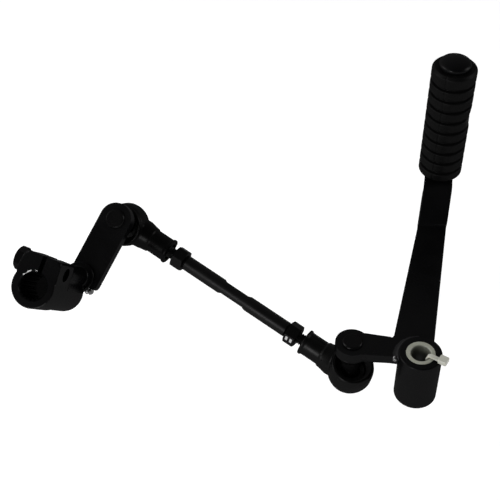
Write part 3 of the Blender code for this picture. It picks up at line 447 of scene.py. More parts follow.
# The spanner has rubbed two bright strokes on one flat of the right lock nut.
RUBBED_FLAT = radians(280)
NUT_MIDDLE, FLAT_START = 32.5, 4.85
STROKE_SIDE, STROKE_OFF = 0.8, 1.2
tree, shader, where = open_finish(rubbed_nut_steel)
out = reach_along(where, (cos(RUBBED_FLAT), sin(RUBBED_FLAT), 0))
side = reach_along(where, (-sin(RUBBED_FLAT), cos(RUBBED_FLAT), 0))
height = add_node(tree, "SeparateXYZ", {0: where}).outputs["Z"]
off_stroke = off_by(off_by(height, NUT_MIDDLE), STROKE_OFF)
stroke = spread(off_stroke, 0.5 * MM, 0.7 * MM, 1.0, 0.0)
flat = times(spread(out, FLAT_START * MM, (FLAT_START + 0.05) * MM),
             spread(off_by(side, STROKE_SIDE), 1.1 * MM, 1.5 * MM, 1.0, 0.0))
show_metal(shader, times(flat, stroke), grey=0.45)

# The right housing's mouth is painted a lighter grey: painted light in the recess.
MOUTH_RADIUS, MOUTH_FLOOR, MOUTH_PAINTED_LIGHT = 8.8, 4.6, 0.008
tree, shader, where = open_finish(forged_steel)
cover(shader, near_axis(where, MOUTH_RADIUS, MOUTH_FLOOR), MOUTH_PAINTED_LIGHT)

# %% [markdown]
# ## Rubber, nylon and the tie
#
# The pedal rubber is matt with a fine moulded grain, and it shines where boots and boxes
# have rubbed it. The bush and the tie are nylon: light goes a little way in before it
# comes back out, so they get some subsurface scattering instead of a chalky white.

# %% Rubber
def black_rubber(name, gloss=0.42):
    material, tree, shader, where = new_finish(name)
    cloud = grain(where, 9.0, 4.0)
    bloom = spread(grain(where, 2.2, 4.0), 0.5, 0.78)
    body = blend_colour(cloud, (0.0015, 0.0015, 0.0016, 1), (0.0024, 0.0024, 0.0023, 1))
    dusty = blend_colour(times(bloom, 0.35), body, (0.0055, 0.0055, 0.0053, 1))
    scuffed = add_node(tree, "Attribute", attribute_name="scuffed").outputs["Fac"]
    paler = blend_colour(times(scuffed, 0.8), dusty, (0.012, 0.012, 0.0115, 1))
    feed(shader, "Base Color", paler)
    matt = spread(cloud, 0.3, 0.7, gloss - 0.05, gloss + 0.1)
    rough = add_node(tree, "Mix", {"Factor": scuffed, "A": matt, "B": 0.24}).outputs["Result"]
    skin = bumped(grain(where, 0.35, 3.0), 0.02)
    relief = bumped(grain(where, 3.0), 0.05, under=skin)
    thin_sheen(shader, 0.020, rough, relief)
    return material


pedal_rubber_finish = black_rubber("black_pedal_rubber")
seal_rubber_finish = black_rubber("black_seal_rubber", gloss=0.45)


# %% Nylon
def nylon(name, colour, shade, gloss=0.4, specular=0.4):
    material, tree, shader, where = new_finish(name)
    cloud = grain(where, 3.5, 3.0)
    clean = blend_colour(cloud, (*colour, 1), (*shade, 1))
    greasy = add_node(tree, "Attribute", attribute_name="greasy").outputs["Fac"]
    colour = blend_colour(greasy, clean, (0.075, 0.078, 0.062, 1))
    feed(shader, "Base Color", colour)
    rough = spread(cloud, 0.3, 0.7, gloss, gloss + 0.15)
    feed(shader, "Roughness", rough)
    feed(shader, "Normal", bumped(grain(where, 0.4), 0.01))
    shader.inputs["Subsurface Weight"].default_value = 0.25
    shader.inputs["Subsurface Radius"].default_value = (1.0, 0.9, 0.7)
    shader.inputs["Subsurface Scale"].default_value = 0.0012
    shader.inputs["Specular IOR Level"].default_value = specular
    return material


bush_nylon = nylon("off_white_nylon", (0.275, 0.28, 0.235), (0.22, 0.225, 0.18))
tie_nylon = nylon("milky_tie_nylon", (0.43, 0.43, 0.38), (0.35, 0.35, 0.31), gloss=0.3)
race_nylon = nylon("dark_race_nylon", (0.004, 0.004, 0.004), (0.006, 0.006, 0.006), specular=0.25)
print("materials:", len(bpy.data.materials))

# %% [markdown]
# ## Turning, pressing and cutting
#
# Nearly every piece is either turned on a lathe or cut from plate, so two helpers make
# most of the model. Both round their corners with real arcs, because a hard corner
# catches no light and gives a computer model away. A third helper cuts one shape out of
# another with a Boolean.

# %% Lathe
def rounded(corners, closed=False, arc_steps=4):
    """A section with rounded corners, from (x, y, rounding) in millimetres."""
    points = []
    count = len(corners)
    for i, (x, y, rounding) in enumerate(corners):
        here = Vector((x, y))
        if rounding == 0 or (not closed and i in (0, count - 1)):
            points.append(here)
            continue
        before = Vector(corners[i - 1][:2]) - here
        after = Vector(corners[(i + 1) % count][:2]) - here
        half = before.angle(after) / 2
        if half > 1.55:
            points.append(here)
            continue
        reach = min(rounding / tan(half), 0.48 * before.length, 0.48 * after.length)
        radius = reach * tan(half)
        inward = (before.normalized() + after.normalized()).normalized()
        centre = here + inward * radius / sin(half)
        first = here + before.normalized() * reach - centre
        last = here + after.normalized() * reach - centre
        sweep = first.angle_signed(last)
        points += [centre + Matrix.Rotation(-sweep * k / arc_steps, 2) @ first
                   for k in range(arc_steps + 1)]
    return points


def place_mesh(name, edit, place):
    """Close a bmesh into an object that stands on its placement."""
    bmesh.ops.recalc_face_normals(edit, faces=edit.faces)
    mesh = bpy.data.meshes.new(name)
    edit.to_mesh(mesh)
    edit.free()
    obj = bpy.data.objects.new(name, mesh)
    scene.collection.objects.link(obj)
    obj.matrix_world = place
    return obj


def skin_rings(edit, rings, closed=False):
    """Faces between rings of points; a ring of one point is a pole."""
    pairs = list(zip(rings, rings[1:])) + ([(rings[-1], rings[0])] if closed else [])
    for low, high in pairs:
        steps = max(len(low), len(high))
        for k in range(steps):
            n = k + 1
            face = [low[k % len(low)], low[n % len(low)], high[n % len(high)], high[k % len(high)]]
            face = list(dict.fromkeys(face))
            if len(face) > 2:
                edit.faces.new(face)


def capped_run(name, edit, rings, place):
    """A closed shape from a run of rings, with a flat face at each end."""
    skin_rings(edit, rings)
    edit.faces.new(rings[0])
    edit.faces.new(list(reversed(rings[-1])))
    return place_mesh(name, edit, place)


def lathe(name, corners, place, closed=False, steps=96, arc_steps=4):
    """Turn a section round Z: (radius, height, rounding) in millimetres."""
    edit = bmesh.new()
    rings = []
    for radius, height in rounded(corners, closed, arc_steps):
        if radius < 1e-6:
            rings.append([edit.verts.new((0, 0, height * MM))])
            continue
        rings.append([edit.verts.new((radius * MM * cos(2 * pi * k / steps),
                                      radius * MM * sin(2 * pi * k / steps), height * MM))
                      for k in range(steps)])
    skin_rings(edit, rings, closed)
    return place_mesh(name, edit, place)


# %% Plate and cuts
def plate(name, outline, low, high, edge, place, segments=4):
    """An outline in millimetres, given thickness, with its rims rounded."""
    edit = bmesh.new()
    bottom = [edit.verts.new((x * MM, y * MM, low * MM)) for x, y in outline]
    top = [edit.verts.new((x * MM, y * MM, high * MM)) for x, y in outline]
    edit.faces.new(bottom)
    edit.faces.new(top)
    for k in range(len(outline)):
        n = (k + 1) % len(outline)
        edit.faces.new((bottom[k], bottom[n], top[n], top[k]))
    if edge:
        rims = [e for e in edit.edges if e.verts[0].co.z == e.verts[1].co.z]
        bmesh.ops.bevel(edit, geom=rims, offset=edge * MM, segments=segments, profile=0.5,
                        affect="EDGES")
    return place_mesh(name, edit, place)


def apply_change(obj):
    """Make a shape's modifier part of its mesh."""
    graph = bpy.context.evaluated_depsgraph_get()
    mesh = bpy.data.meshes.new_from_object(obj.evaluated_get(graph))
    obj.modifiers.clear()
    obj.data = mesh


def shape_with(target, tool, operation="DIFFERENCE"):
    """Cut, join or trim one shape with another, which is then gone."""
    change = target.modifiers.new("shape", "BOOLEAN")
    change.operation = operation
    change.solver = "EXACT"
    change.object = tool
    apply_change(target)
    bpy.data.objects.remove(tool, do_unlink=True)


def turn_with(target, corners, place, operation="DIFFERENCE", steps=96):
    """Cut, join or trim one shape with a turned one."""
    shape_with(target, lathe("tool", corners, place, steps=steps), operation)


def bored(radius, low, high):
    """The section of a plain round hole."""
    return [(0, high, 0), (radius, high, 0), (radius, low, 0), (0, low, 0)]


def arc(centre, radius, start, end, steps):
    """Points on an arc, in degrees."""
    angles = [radians(start + (end - start) * k / steps) for k in range(steps + 1)]
    return [(centre[0] + radius * cos(a), centre[1] + radius * sin(a)) for a in angles]


# %% Fitting a piece
def fit(piece, body, slot, finish, *nodes, angle=32):
    """Give a piece its finish and shading, and fit it in place of the model's solid."""
    piece.data.materials.clear()
    piece.data.materials.append(finish)
    piece.data.shade_smooth()
    piece.data.set_sharp_from_angle(angle=radians(angle))
    piece.modifiers.new("even_normals", "WEIGHTED_NORMAL").keep_sharp = True
    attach(piece, body)
    if nodes:
        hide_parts(*nodes)
    print("%-22s %6d faces" % (piece.name, len(piece.data.polygons)))


# %% [markdown]
# ## Lever plate
#
# One flat blank carries everything on the lever: a long bar to the pedal and a short arm
# to the tie rod. Two bends near the pedal raise its end by 12 mm. The blank is drawn
# flat, its rims are rounded as pressing and painting leave them, and each point is then
# moved to where the press would bend it, so the bar keeps its thickness round the bends.

# %% Joggle
PLATE_TOP, PLATE_THICKNESS, PLATE_EDGE = 26.0, 5.0, 0.5
CREASE_Y, BEND_RADIUS, JOGGLE_RISE = 86.6, 7.0, 12.0
JOGGLE_ANGLE = radians(35.0)
bend_length = BEND_RADIUS * JOGGLE_ANGLE
bend_rise = BEND_RADIUS * (1 - cos(JOGGLE_ANGLE))
slope_length = (JOGGLE_RISE - 2 * bend_rise) / sin(JOGGLE_ANGLE)
first_bend = CREASE_Y - BEND_RADIUS * tan(JOGGLE_ANGLE / 2)
second_bend = first_bend + bend_length + slope_length


def bent(y, z):
    """Where a point of the flat blank lies once both bends are made, in millimetres."""
    if y <= first_bend:
        return y, z
    turned = min(y - first_bend, bend_length) / BEND_RADIUS
    path_y = first_bend + BEND_RADIUS * sin(turned)
    path_z = BEND_RADIUS * (1 - cos(turned))
    if y > first_bend + bend_length:
        slope = min(y, second_bend) - first_bend - bend_length
        path_y += slope * cos(JOGGLE_ANGLE)
        path_z += slope * sin(JOGGLE_ANGLE)
    if y > second_bend:
        back = min(y - second_bend, bend_length) / BEND_RADIUS
        path_y += BEND_RADIUS * (sin(JOGGLE_ANGLE) - sin(JOGGLE_ANGLE - back))
        path_z += BEND_RADIUS * (cos(JOGGLE_ANGLE - back) - cos(JOGGLE_ANGLE))
        turned = JOGGLE_ANGLE - back
        path_y += max(0.0, y - second_bend - bend_length)
    return path_y - z * sin(turned), path_z + z * cos(turned)


blank_end = second_bend + bend_length
blank_pedal_y = blank_end + (PEDAL_Y - bent(blank_end, 0.0)[0])
print("flat blank: pedal hole at %.1f mm" % blank_pedal_y)

# %% Blank
EYE_RADIUS, TIP_HALF, WAIST_HALF, WAIST_RADIUS = 8.0, 7.25, 12.2, 16.0
BOSS_HOLE, BEND_CUTS = 9.0, 12
stud_x, stud_y = right_ball.x / MM, right_ball.y / MM
arm_top, arm_low = (-13.7, 11.2), (-13.5, 0.6)
arm_way = degrees(atan2((arm_top[1] + arm_low[1]) / 2 - stud_y,
                        (arm_top[0] + arm_low[0]) / 2 - stud_x))
opening = degrees(asin(WAIST_HALF / WAIST_RADIUS))
bar_left, bar_right = [(-10.9, 12.0), (8.85, CREASE_Y)], [(23.35, CREASE_Y), (7.41, 8.0)]
corner = rounded([(*arm_top, 0), (*bar_left[0], 2.2), (*bar_left[1], 0)], arc_steps=6)[1:-1]
blank = ([bar_right[0]] + arc((PEDAL_X, blank_pedal_y), TIP_HALF, 0, 180, 40) + [bar_left[1]]
         + corner[::-1]
         + arc((stud_x, stud_y), EYE_RADIUS, arm_way + opening, arm_way - opening + 360, 56)
         + [arm_low, (-8.0, -0.8), (4.5, 2.0), bar_right[1]])

half = PLATE_THICKNESS / 2
lever_bar = plate("lever_bar_and_arm", blank, -half, half, PLATE_EDGE, shift(0, 0, PLATE_TOP - half))
edit = bmesh.new()
edit.from_mesh(lever_bar.data)
for start in (first_bend, second_bend):
    for k in range(BEND_CUTS + 1):
        cut = (0, (start + bend_length * k / BEND_CUTS) * MM, 0)
        bmesh.ops.bisect_plane(edit, geom=edit.verts[:] + edit.edges[:] + edit.faces[:],
                               plane_co=cut, plane_no=(0, 1, 0))
for point in edit.verts:
    y, z = bent(point.co.y / MM, point.co.z / MM)
    point.co.y, point.co.z = y * MM, z * MM
edit.to_mesh(lever_bar.data)
edit.free()
turn_with(lever_bar, bored(BOSS_HOLE, 10, 40), at_pivot)
fit(lever_bar, "lever", "black_paint", plate_paint, "lever_plate")

# %% [markdown]
# ## Pivot boss and its bushes
#
# The boss is a short tube, welded through the plate, and a nylon bush is pressed into
# each end. The top bush is the one bright spot of the part, so it gets a small chamfer
# at its bore and a smooth rim.

# %% Boss and bushes
BOSS_RADIUS, BOSS_TOP, BOSS_BORE = 9.95, 29.0, 6.75
BUSH_RADIUS, BUSH_BORE, BUSH_MOUTH, BUSH_LENGTH = 6.65, 4.4, 5.0, 12

boss_tube = lathe("pivot_boss_tube", [(BOSS_RADIUS, BOSS_TOP, 0.7), (BOSS_RADIUS, 0.0, 0.7),
                                      (BOSS_BORE, 0.0, 0.3), (BOSS_BORE, BOSS_TOP, 0.25)],
                  at_pivot, closed=True, steps=128)
fit(boss_tube, "lever", "black_paint", plate_paint, "pivot_boss")
for name, low, node in (("upper_nylon_bush", BOSS_TOP - BUSH_LENGTH, "upper_bush"),
                        ("lower_nylon_bush", 0.0, "lower_bush")):
    top = low + BUSH_LENGTH
    section = [(BUSH_RADIUS, top, 0.15), (BUSH_RADIUS, low, 0.15), (BUSH_MOUTH, low, 0.2),
               (BUSH_BORE, low + 0.6, 0.3), (BUSH_BORE, top - 0.6, 0.3), (BUSH_MOUTH, top, 0.2)]
    bush = lathe(name, section, at_pivot, closed=True)
    grease = [float(hypot(point.co.x, point.co.y) < (BUSH_BORE + 0.1) * MM)
              for point in bush.data.vertices]
    bush.data.attributes.new("greasy", "FLOAT", "POINT").data.foreach_set("value", grease)
    fit(bush, "lever", "white_nylon", bush_nylon, node)

# %% [markdown]
# ## Weld beads
#
# A hand weld is a row of overlapping puddles. Sweeping a round section along the joint
# would look like a wire, so the section grows and shrinks along it with a short saw-tooth
# ripple and slower, irregular swells. A seeded random series gives the same weld on every
# run. Round the boss the weld has flowed out smooth, so there a hollow fillet is swept,
# and only the small bead at its end is rippled.

# %% Weld helper
def weld(name, path, place, size, seed, pitch=1.3, ripple=0.12):
    """A rippled bead of a radius along a path, in millimetres."""
    rng = np.random.default_rng(seed)
    path = [Vector(p) for p in path]
    lengths = [0.0]
    for a, b in zip(path, path[1:]):
        lengths.append(lengths[-1] + (b - a).length)
    steps = int(lengths[-1] / 0.12)
    sides = 18
    swells = rng.normal(size=12)
    edit, rings = bmesh.new(), []
    for k in range(steps + 1):
        s = lengths[-1] * k / steps
        i = min(max(np.searchsorted(lengths, s) - 1, 0), len(path) - 2)
        centre = path[i].lerp(path[i + 1], (s - lengths[i]) / (lengths[i + 1] - lengths[i]))
        along = (path[min(i + 2, len(path) - 1)] - path[max(i - 1, 0)]).normalized()
        out = along.cross(Vector((0, 0, 1))).normalized()
        lift = out.cross(along)
        end = min(s, lengths[-1] - s)
        cap = sqrt(max(0.0, 1 - (1 - min(end / size, 1.0)) ** 2))
        wave = sum(swells[j] * sin(s * (0.5 + 0.35 * j) + j * 2.1) for j in range(12)) / 12
        tooth = (s / pitch) % 1.0
        radius = size * max(cap, 0.05) * (1 + 0.25 * wave - ripple * tooth ** 2)
        ring = []
        for j in range(sides):
            a = 2 * pi * j / sides
            lean = 0.14 * pitch * sin(a) ** 2
            round_it = (out * cos(a) + lift * sin(a)) * radius
            ring.append(edit.verts.new((centre + round_it + along * lean) * MM))
        rings.append(ring)
    return capped_run(name, edit, rings, place)


# %% Pivot weld
FILLET_START, FILLET_END, FILLET_FOOT, FILLET_RISE, FILLET_ROOT = 75, 189, 2.5, 1.9, 25.8

edit, rings = bmesh.new(), []
for heading in range(FILLET_START, FILLET_END + 1, 2):
    swell = 0.12 * sin(heading * 0.31) + 0.08 * sin(heading * 0.83 + 1)
    taper = min(1.0, (heading - FILLET_START + 2) / 14, (FILLET_END + 2 - heading) / 8)
    foot, rise = (FILLET_FOOT + swell) * taper, (FILLET_RISE + swell) * taper
    section = [(9.8, FILLET_ROOT), (9.8, PLATE_TOP + rise)]
    section += [(BOSS_RADIUS + foot * (1 - cos(a)) ** 1.2, PLATE_TOP + rise * (1 - sin(a)) ** 1.2)
                for a in (pi / 2 * k / 10 for k in range(11))]
    section += [(BOSS_RADIUS + foot, FILLET_ROOT)]
    way = Vector((cos(radians(heading)), sin(radians(heading)), 0))
    rings.append([edit.verts.new((way * r + Vector((0, 0, z))) * MM) for r, z in section])
fillet = capped_run("pivot_weld_fillet", edit, rings, at_pivot)
# The fillet wears the lighter paint, a painted highlight.
fit(fillet, "lever", "black_paint", fillet_painted_highlight, "pivot_weld", angle=60)
lump = weld("pivot_weld_bead", [(-11.9, 0.9, 26.0), (-11.6, -0.4, 25.6), (-10.9, -1.5, 25.2)],
            at_pivot, 1.25, seed=4)
fit(lump, "lever", "black_paint", bead_paint, angle=60)

# %% [markdown]
# ## Pedal peg and rubber
#
# The peg is one turned pin with a low mushroom head; the rubber is pushed over it and
# held by the head. The rubber's ribs are soft-shouldered rings between narrow grooves,
# so the section has a small rounding at every corner. It also keeps the thin line where
# the two halves of its mould met.

# %% Peg
PEG_SEAT, RUBBER_LENGTH = 38.3, 65.4
HEAD_RADIUS, COLLAR_RADIUS, PEG_RADIUS, COLLAR_LOW = 7.8, 5.5, 4.0, 32.7
RUBBER_TOP = PEG_SEAT + RUBBER_LENGTH
head_low = RUBBER_TOP + 0.3
dome = [(HEAD_RADIUS * sin(radians(a)), head_low + 1.2 + 2.6 * cos(radians(a)), 0)
        for a in range(0, 91, 6)]
section = dome + [(HEAD_RADIUS, head_low, 0.3), (COLLAR_RADIUS, head_low, 0),
                  (COLLAR_RADIUS, PEG_SEAT, 0.2), (PEG_RADIUS, PEG_SEAT, 0),
                  (PEG_RADIUS, COLLAR_LOW, 0), (COLLAR_RADIUS, COLLAR_LOW, 0.2),
                  (5.2, 31.8, 0.7), (3.4, 31.1, 0.8), (0, 31.1, 0)]
peg = lathe("pedal_peg_pin", section, at_pedal)
fit(peg, "lever", "black_paint", plate_paint, "pedal_peg")

# %% Rubber section
RIB_RADIUS, GROOVE_RADIUS, RUBBER_BORE, END_RADIUS = 11.0, 9.3, 5.8, 9.7
GROOVES, GROOVE_PITCH, FIRST_GROOVE = 9, 6.49, 7.4
ribs = [(END_RADIUS, RUBBER_TOP, 0.4), (RIB_RADIUS, RUBBER_TOP - 1.3, 0.9)]
for groove in range(GROOVES):
    z = RUBBER_TOP - FIRST_GROOVE - groove * GROOVE_PITCH
    ribs += [(RIB_RADIUS, z + 1.0, 0.6), (GROOVE_RADIUS, z + 0.7, 0.3),
             (GROOVE_RADIUS, z - 0.7, 0.3), (RIB_RADIUS, z - 1.0, 0.6)]
ribs += [(RIB_RADIUS, PEG_SEAT + 1.3, 0.9), (END_RADIUS, PEG_SEAT, 0.4),
         (RUBBER_BORE, PEG_SEAT, 0.2), (RUBBER_BORE, RUBBER_TOP, 0.2)]
sleeve = lathe("ribbed_pedal_rubber", ribs, at_pedal, closed=True, steps=240, arc_steps=5)

# %% Mould line and scuff
SEAM_ANGLES = (radians(-120), radians(60))
SEAM_DEPTH, SEAM_HALF = 0.25, 0.4
SCUFF, SCUFF_RADIUS, SCUFF_DEPTH = Vector((10.4, -3.6, 74.5)), 5.5, 0.55
OUTSIDE, ON_RIBS = 9.0, 10.2
rib_height = RIB_RADIUS - GROOVE_RADIUS
scuffs = []
for point in sleeve.data.vertices:
    x, y, z = (c / MM for c in point.co)
    radius, angle = hypot(x, y), atan2(y, x)
    depth = max(0.0, 1 - ((Vector((x, y, z)) - SCUFF).length / SCUFF_RADIUS) ** 2)
    lift = 0.0
    if radius > OUTSIDE:
        off = min(abs(remainder(angle - seam, 2 * pi)) for seam in SEAM_ANGLES) * radius
        worn = SCUFF_DEPTH * depth * max(0.0, (radius - GROOVE_RADIUS) / rib_height)
        lift = -SEAM_DEPTH * max(0.0, 1 - off / SEAM_HALF) - worn
    scuffs.append(min(1.0, 1.6 * depth) if radius > ON_RIBS else 0.0)
    point.co.x += x / radius * lift * MM
    point.co.y += y / radius * lift * MM
sleeve.data.attributes.new("scuffed", "FLOAT", "POINT").data.foreach_set("value", scuffs)
fit(sleeve, "lever", "black_rubber", pedal_rubber_finish, "pedal_rubber", angle=50)

# %% [markdown]
# ## Ball studs and their seals
#
# Each ball, neck and collar is one turned stud, pushed through its plate and riveted
# over. A short rubber sleeve keeps dust out of the race.

# %% Studs and seals
BALL_RADIUS, STUD_RADIUS, PLATE_SEAT, RIVET_SEAT = 5.0, 3.7, 16.4, 22.0
SEAL_BORE, SEAL_LOW, SEAL_TOP = 3.1, 5.6, 11.5

STUD = [(0, 22.9, 0), (4.2, 22.9, 0.5), (5.1, RIVET_SEAT, 0.25), (STUD_RADIUS, RIVET_SEAT, 0),
        (STUD_RADIUS, PLATE_SEAT, 0), (8.0, 16.6, 0.25), (7.95, 15.9, 0.3), (6.1, 12.5, 0.7),
        (2.8, 11.8, 0.4)] + [(r, z, 0) for r, z in arc((0, 0), BALL_RADIUS, 54, -90, 24)]
SEAL = [(3.8, SEAL_TOP, 0.3), (4.3, 8.4, 1.5), (4.6, 7.0, 0.8), (4.6, SEAL_LOW, 0.3),
        (SEAL_BORE, SEAL_LOW, 0.2), (SEAL_BORE, SEAL_TOP, 0.2)]
sides = (("right", at_right_stud, "lever"), ("left", at_clamp_arm, "clamp_arm"))
for side, place, body in sides:
    fit(lathe(side + "_stud", STUD, place), body, "black_steel", stud_steel, side + "_ball_stud")
for side, place, _ in sides:
    seal = lathe(side + "_seal_sleeve", SEAL, place, closed=True)
    fit(seal, side + "_seal", "black_rubber", seal_rubber_finish, side + "_dust_seal")

# %% [markdown]
# ## Rod ends
#
# A rod end is a forging: a round housing that flows into a threaded neck. Two turned
# shapes joined by a Boolean meet in a hard crease, so the join is remeshed into a fine
# even skin and only the crease is relaxed. The race's pocket and the thread's hole are
# machined in afterwards, as they are in the workshop, and stay crisp.

# %% Forging helper
def remesh(obj, size):
    """A fine even skin over a closed shape, in millimetres."""
    skin = obj.modifiers.new("skin", "REMESH")
    skin.mode = "VOXEL"
    skin.voxel_size = size * MM
    apply_change(obj)


def relax(obj, rounds, share_at):
    """Average each point with its neighbours; share_at gives how much, from its millimetres."""
    mesh = obj.data
    points = np.empty(len(mesh.vertices) * 3)
    mesh.vertices.foreach_get("co", points)
    points = points.reshape(-1, 3) / MM
    edges = np.empty(len(mesh.edges) * 2, int)
    mesh.edges.foreach_get("vertices", edges)
    edges = edges.reshape(-1, 2)
    count = np.bincount(edges.ravel(), minlength=len(points))[:, None]
    share = share_at(points)[:, None]
    for _ in range(rounds):
        total = np.zeros_like(points)
        np.add.at(total, edges[:, 0], points[edges[:, 1]])
        np.add.at(total, edges[:, 1], points[edges[:, 0]])
        points += (total / count - points) * share
    mesh.vertices.foreach_set("co", (points * MM).ravel())
    mesh.update()


def ramp(values, low, high):
    """0 below low, 1 above high, smooth between."""
    t = np.clip((values - low) / (high - low), 0, 1)
    return t * t * (3 - 2 * t)


# %% Rod ends
SLEEVE_END, THREAD_BOTTOM, HOUSING_SKIN = 26.1, 16.5, 0.25
HOUSING = [(0, 8.6, 0), (9.6, 8.6, 0.3), (10.1, 7.9, 0.3), (10.1, 6.7, 0.3), (10.5, 6.1, 0.5),
           (10.7, 4.1, 1.5), (10.7, -0.6, 2.0), (10.2, -2.4, 1.5), (9.4, -4.4, 1.0),
           (8.5, -5.6, 0.3), (0, -5.6, 0)]
NECK = [(0, SLEEVE_END, 0), (6.5, SLEEVE_END, 0.4), (6.5, SLEEVE_END - 1.1, 0.3),
        (5.9, SLEEVE_END - 1.6, 0.4), (5.9, 15.6, 0.5), (6.5, 15.0, 0.3), (6.5, 14.4, 0.3),
        (6.7, 13.2, 0.5), (7.5, 9.5, 0.5), (6.9, 6.0, 0), (0, 6.0, 0)]
POCKET = [(0, 10.6, 0), (9.7, 10.6, 0), (8.7, 8.6, 0), (6.9, 4.9, 0.4), (6.9, -4.4, 0.2),
          (7.6, -4.4, 0), (7.6, -7.6, 0), (0, -7.6, 0)]
HOLE = [(0, SLEEVE_END + 2, 0), (4.3, SLEEVE_END + 2, 0), (4.3, SLEEVE_END - 1.2, 0.1),
        (3.2, SLEEVE_END - 2.3, 0.1), (3.2, THREAD_BOTTOM, 0), (0, THREAD_BOTTOM, 0)]


def at_crease(p):
    """How far a point of a rod end is in the crease between housing and neck."""
    return (0.6 * ramp(p[:, 0], 7.0, 9.5) * (1 - ramp(p[:, 0], 12.4, 14.0))
            * (1 - ramp(p[:, 2], 4.8, 6.4)))


# The left rod end wears the darker, shaded copy of the steel: painted shade.
for side, housing_at, neck_at, finish in (
        ("right", at_right_housing, at_right_neck, forged_steel),
        ("left", at_left_housing, at_left_neck, shaded_forged_steel)):
    housing = lathe(side + "_rod_end_forging", HOUSING, housing_at)
    neck = lathe("neck", NECK, neck_at)
    limit = plate("limit", [(-40, -30), (40, -30), (40, 30), (-40, 30)], -5.2, 7.4, 1.2, housing_at)
    shape_with(neck, limit, "INTERSECT")
    shape_with(housing, neck, "UNION")
    remesh(housing, HOUSING_SKIN)
    relax(housing, 2, lambda p: np.full(len(p), 0.5))
    relax(housing, 40, at_crease)
    turn_with(housing, POCKET, housing_at)
    turn_with(housing, HOLE, neck_at, steps=64)
    fit(housing, "link", "black_steel", finish, side + "_rod_end", angle=40)

# %% Caps
CAP = [(0, -5.2, 0), (3.6, -5.2, 0.8), (5.5, -4.7, 0.8), (7.3, -4.7, 0.1), (7.3, -5.6, 0.3),
       (6.0, -6.35, 0.8), (3.6, -6.6, 1.5), (0, -6.6, 0)]
for side, place in (("right", at_right_housing), ("left", at_left_housing)):
    cap = lathe(side + "_pressed_cap", CAP, place)
    fit(cap, "link", "black_steel", forged_steel, side + "_end_cap")
    race = frame["nodes"][side + "_race"].data
    race.materials.clear()
    race.materials.append(race_nylon)

# %% [markdown]
# ## Tie rod and lock nuts
#
# The rod is a bar with two spanner flats and an M6 thread at each end, and a lock nut
# holds each rod end. A thread could be a bump texture, but its crests show in outline
# between the nut and the neck, so it is a real helix: the radius at each point follows
# how far it is round and along.

# %% Bar
BODY_START, BODY_END, BODY_RADIUS = 35.9, 96.7, 3.75
FLATS_TURN = radians(-26)
HALF_FLATS, FLATS_MIDDLE, FLATS_REACH, RUN_OUT = 3.1, BODY_START + 31.35, 6.75, 1.2 / 0.65

bar = lathe("tie_rod_bar", [(0, BODY_END, 0), (2.7, BODY_END, 0), (3.2, BODY_END, 0),
                            (BODY_RADIUS, BODY_END - 0.5, 0.2), (BODY_RADIUS, BODY_START + 0.5, 0.2),
                            (3.2, BODY_START, 0), (2.7, BODY_START, 0), (0, BODY_START, 0)], at_rod)
run = RUN_OUT * (9.0 - HALF_FLATS)
section = [(HALF_FLATS, FLATS_MIDDLE - FLATS_REACH), (9.0, FLATS_MIDDLE - FLATS_REACH - run),
           (9.0, FLATS_MIDDLE + FLATS_REACH + run), (HALF_FLATS, FLATS_MIDDLE + FLATS_REACH)]
for turn in (FLATS_TURN, FLATS_TURN + pi):
    place = at_rod @ Matrix.Rotation(turn + pi / 2, 4, "Z") @ Matrix.Rotation(pi / 2, 4, "X")
    shape_with(bar, plate("flat", section, -9.0, 9.0, 0, place))
fit(bar, "link", "black_steel", rod_steel, "tie_rod", angle=25)

# %% Threads
THREAD_RADIUS, THREAD_PITCH, THREAD_DEPTH, THREAD_SIDES = 2.9, 1.0, 0.5, 72
THREAD_TIP, THREAD_LAP = 17.1, 0.2

for name, low, high in (("right_thread", THREAD_TIP, BODY_START + THREAD_LAP),
                        ("left_thread", BODY_END - THREAD_LAP, rod_length - THREAD_TIP)):
    edit, rings = bmesh.new(), []
    steps = int((high - low) / 0.08)
    for k in range(steps + 1):
        z = low + (high - low) * k / steps
        ring = []
        for j in range(THREAD_SIDES):
            a = 2 * pi * j / THREAD_SIDES
            phase = (z / THREAD_PITCH - j / THREAD_SIDES) % 1.0
            crest = min(1.0, max(0.0, abs(phase - 0.5) * 2.6 - 0.15))
            r = (THREAD_RADIUS - THREAD_DEPTH * (1 - crest)) * MM
            ring.append(edit.verts.new((r * cos(a), r * sin(a), z * MM)))
        rings.append(ring)
    thread = capped_run(name, edit, rings, at_rod)
    fit(thread, "link", "black_steel", rod_steel, angle=60)

# %% Nuts
ACROSS_FLATS, NUT_GAP, NUT_HEIGHT, NUT_BORE = 10.0, 0.3, 6.2, 3.2


def hex_piece(name, low, high, place, turn, hole=0.0, both=True):
    """A hexagon with softened corners, trimmed by a chamfer cone."""
    corner = ACROSS_FLATS / sqrt(3)
    corners = [(x, y, 0.35) for x, y in arc((0, 0), corner, turn, turn + 300, 5)]
    outline = rounded(corners, closed=True, arc_steps=3)
    nut = plate(name, outline, low, high, 0, place)
    drop, land = (corner - ACROSS_FLATS / 2) * 0.75, ACROSS_FLATS * 0.47
    cone = [(0, high, 0), (land, high, 0.2), (corner + 0.1, high - drop, 0)]
    cone += [(corner + 0.1, low + drop, 0), (land, low, 0.2)] if both else [(corner + 0.1, low, 0)]
    turn_with(nut, cone + [(0, low, 0)], place, "INTERSECT")
    if hole:
        bore = [(0, high + 2, 0), (hole + 2.0, high + 2, 0), (hole, high - 0.5, 0),
                (hole, low + 0.5, 0), (hole + 2.0, low - 2, 0), (0, low - 2, 0)]
        turn_with(nut, bore, place, steps=64)
    return nut


for side, low, turn, finish in (
        ("right", BODY_START - NUT_GAP - NUT_HEIGHT, 10.0, rubbed_nut_steel),
        ("left", BODY_END + NUT_GAP, 25.0, nut_steel)):
    nut = hex_piece(side + "_nut", low, low + NUT_HEIGHT, at_rod, turn, hole=NUT_BORE)
    fit(nut, "link", "black_steel", finish, side + "_lock_nut", angle=24)

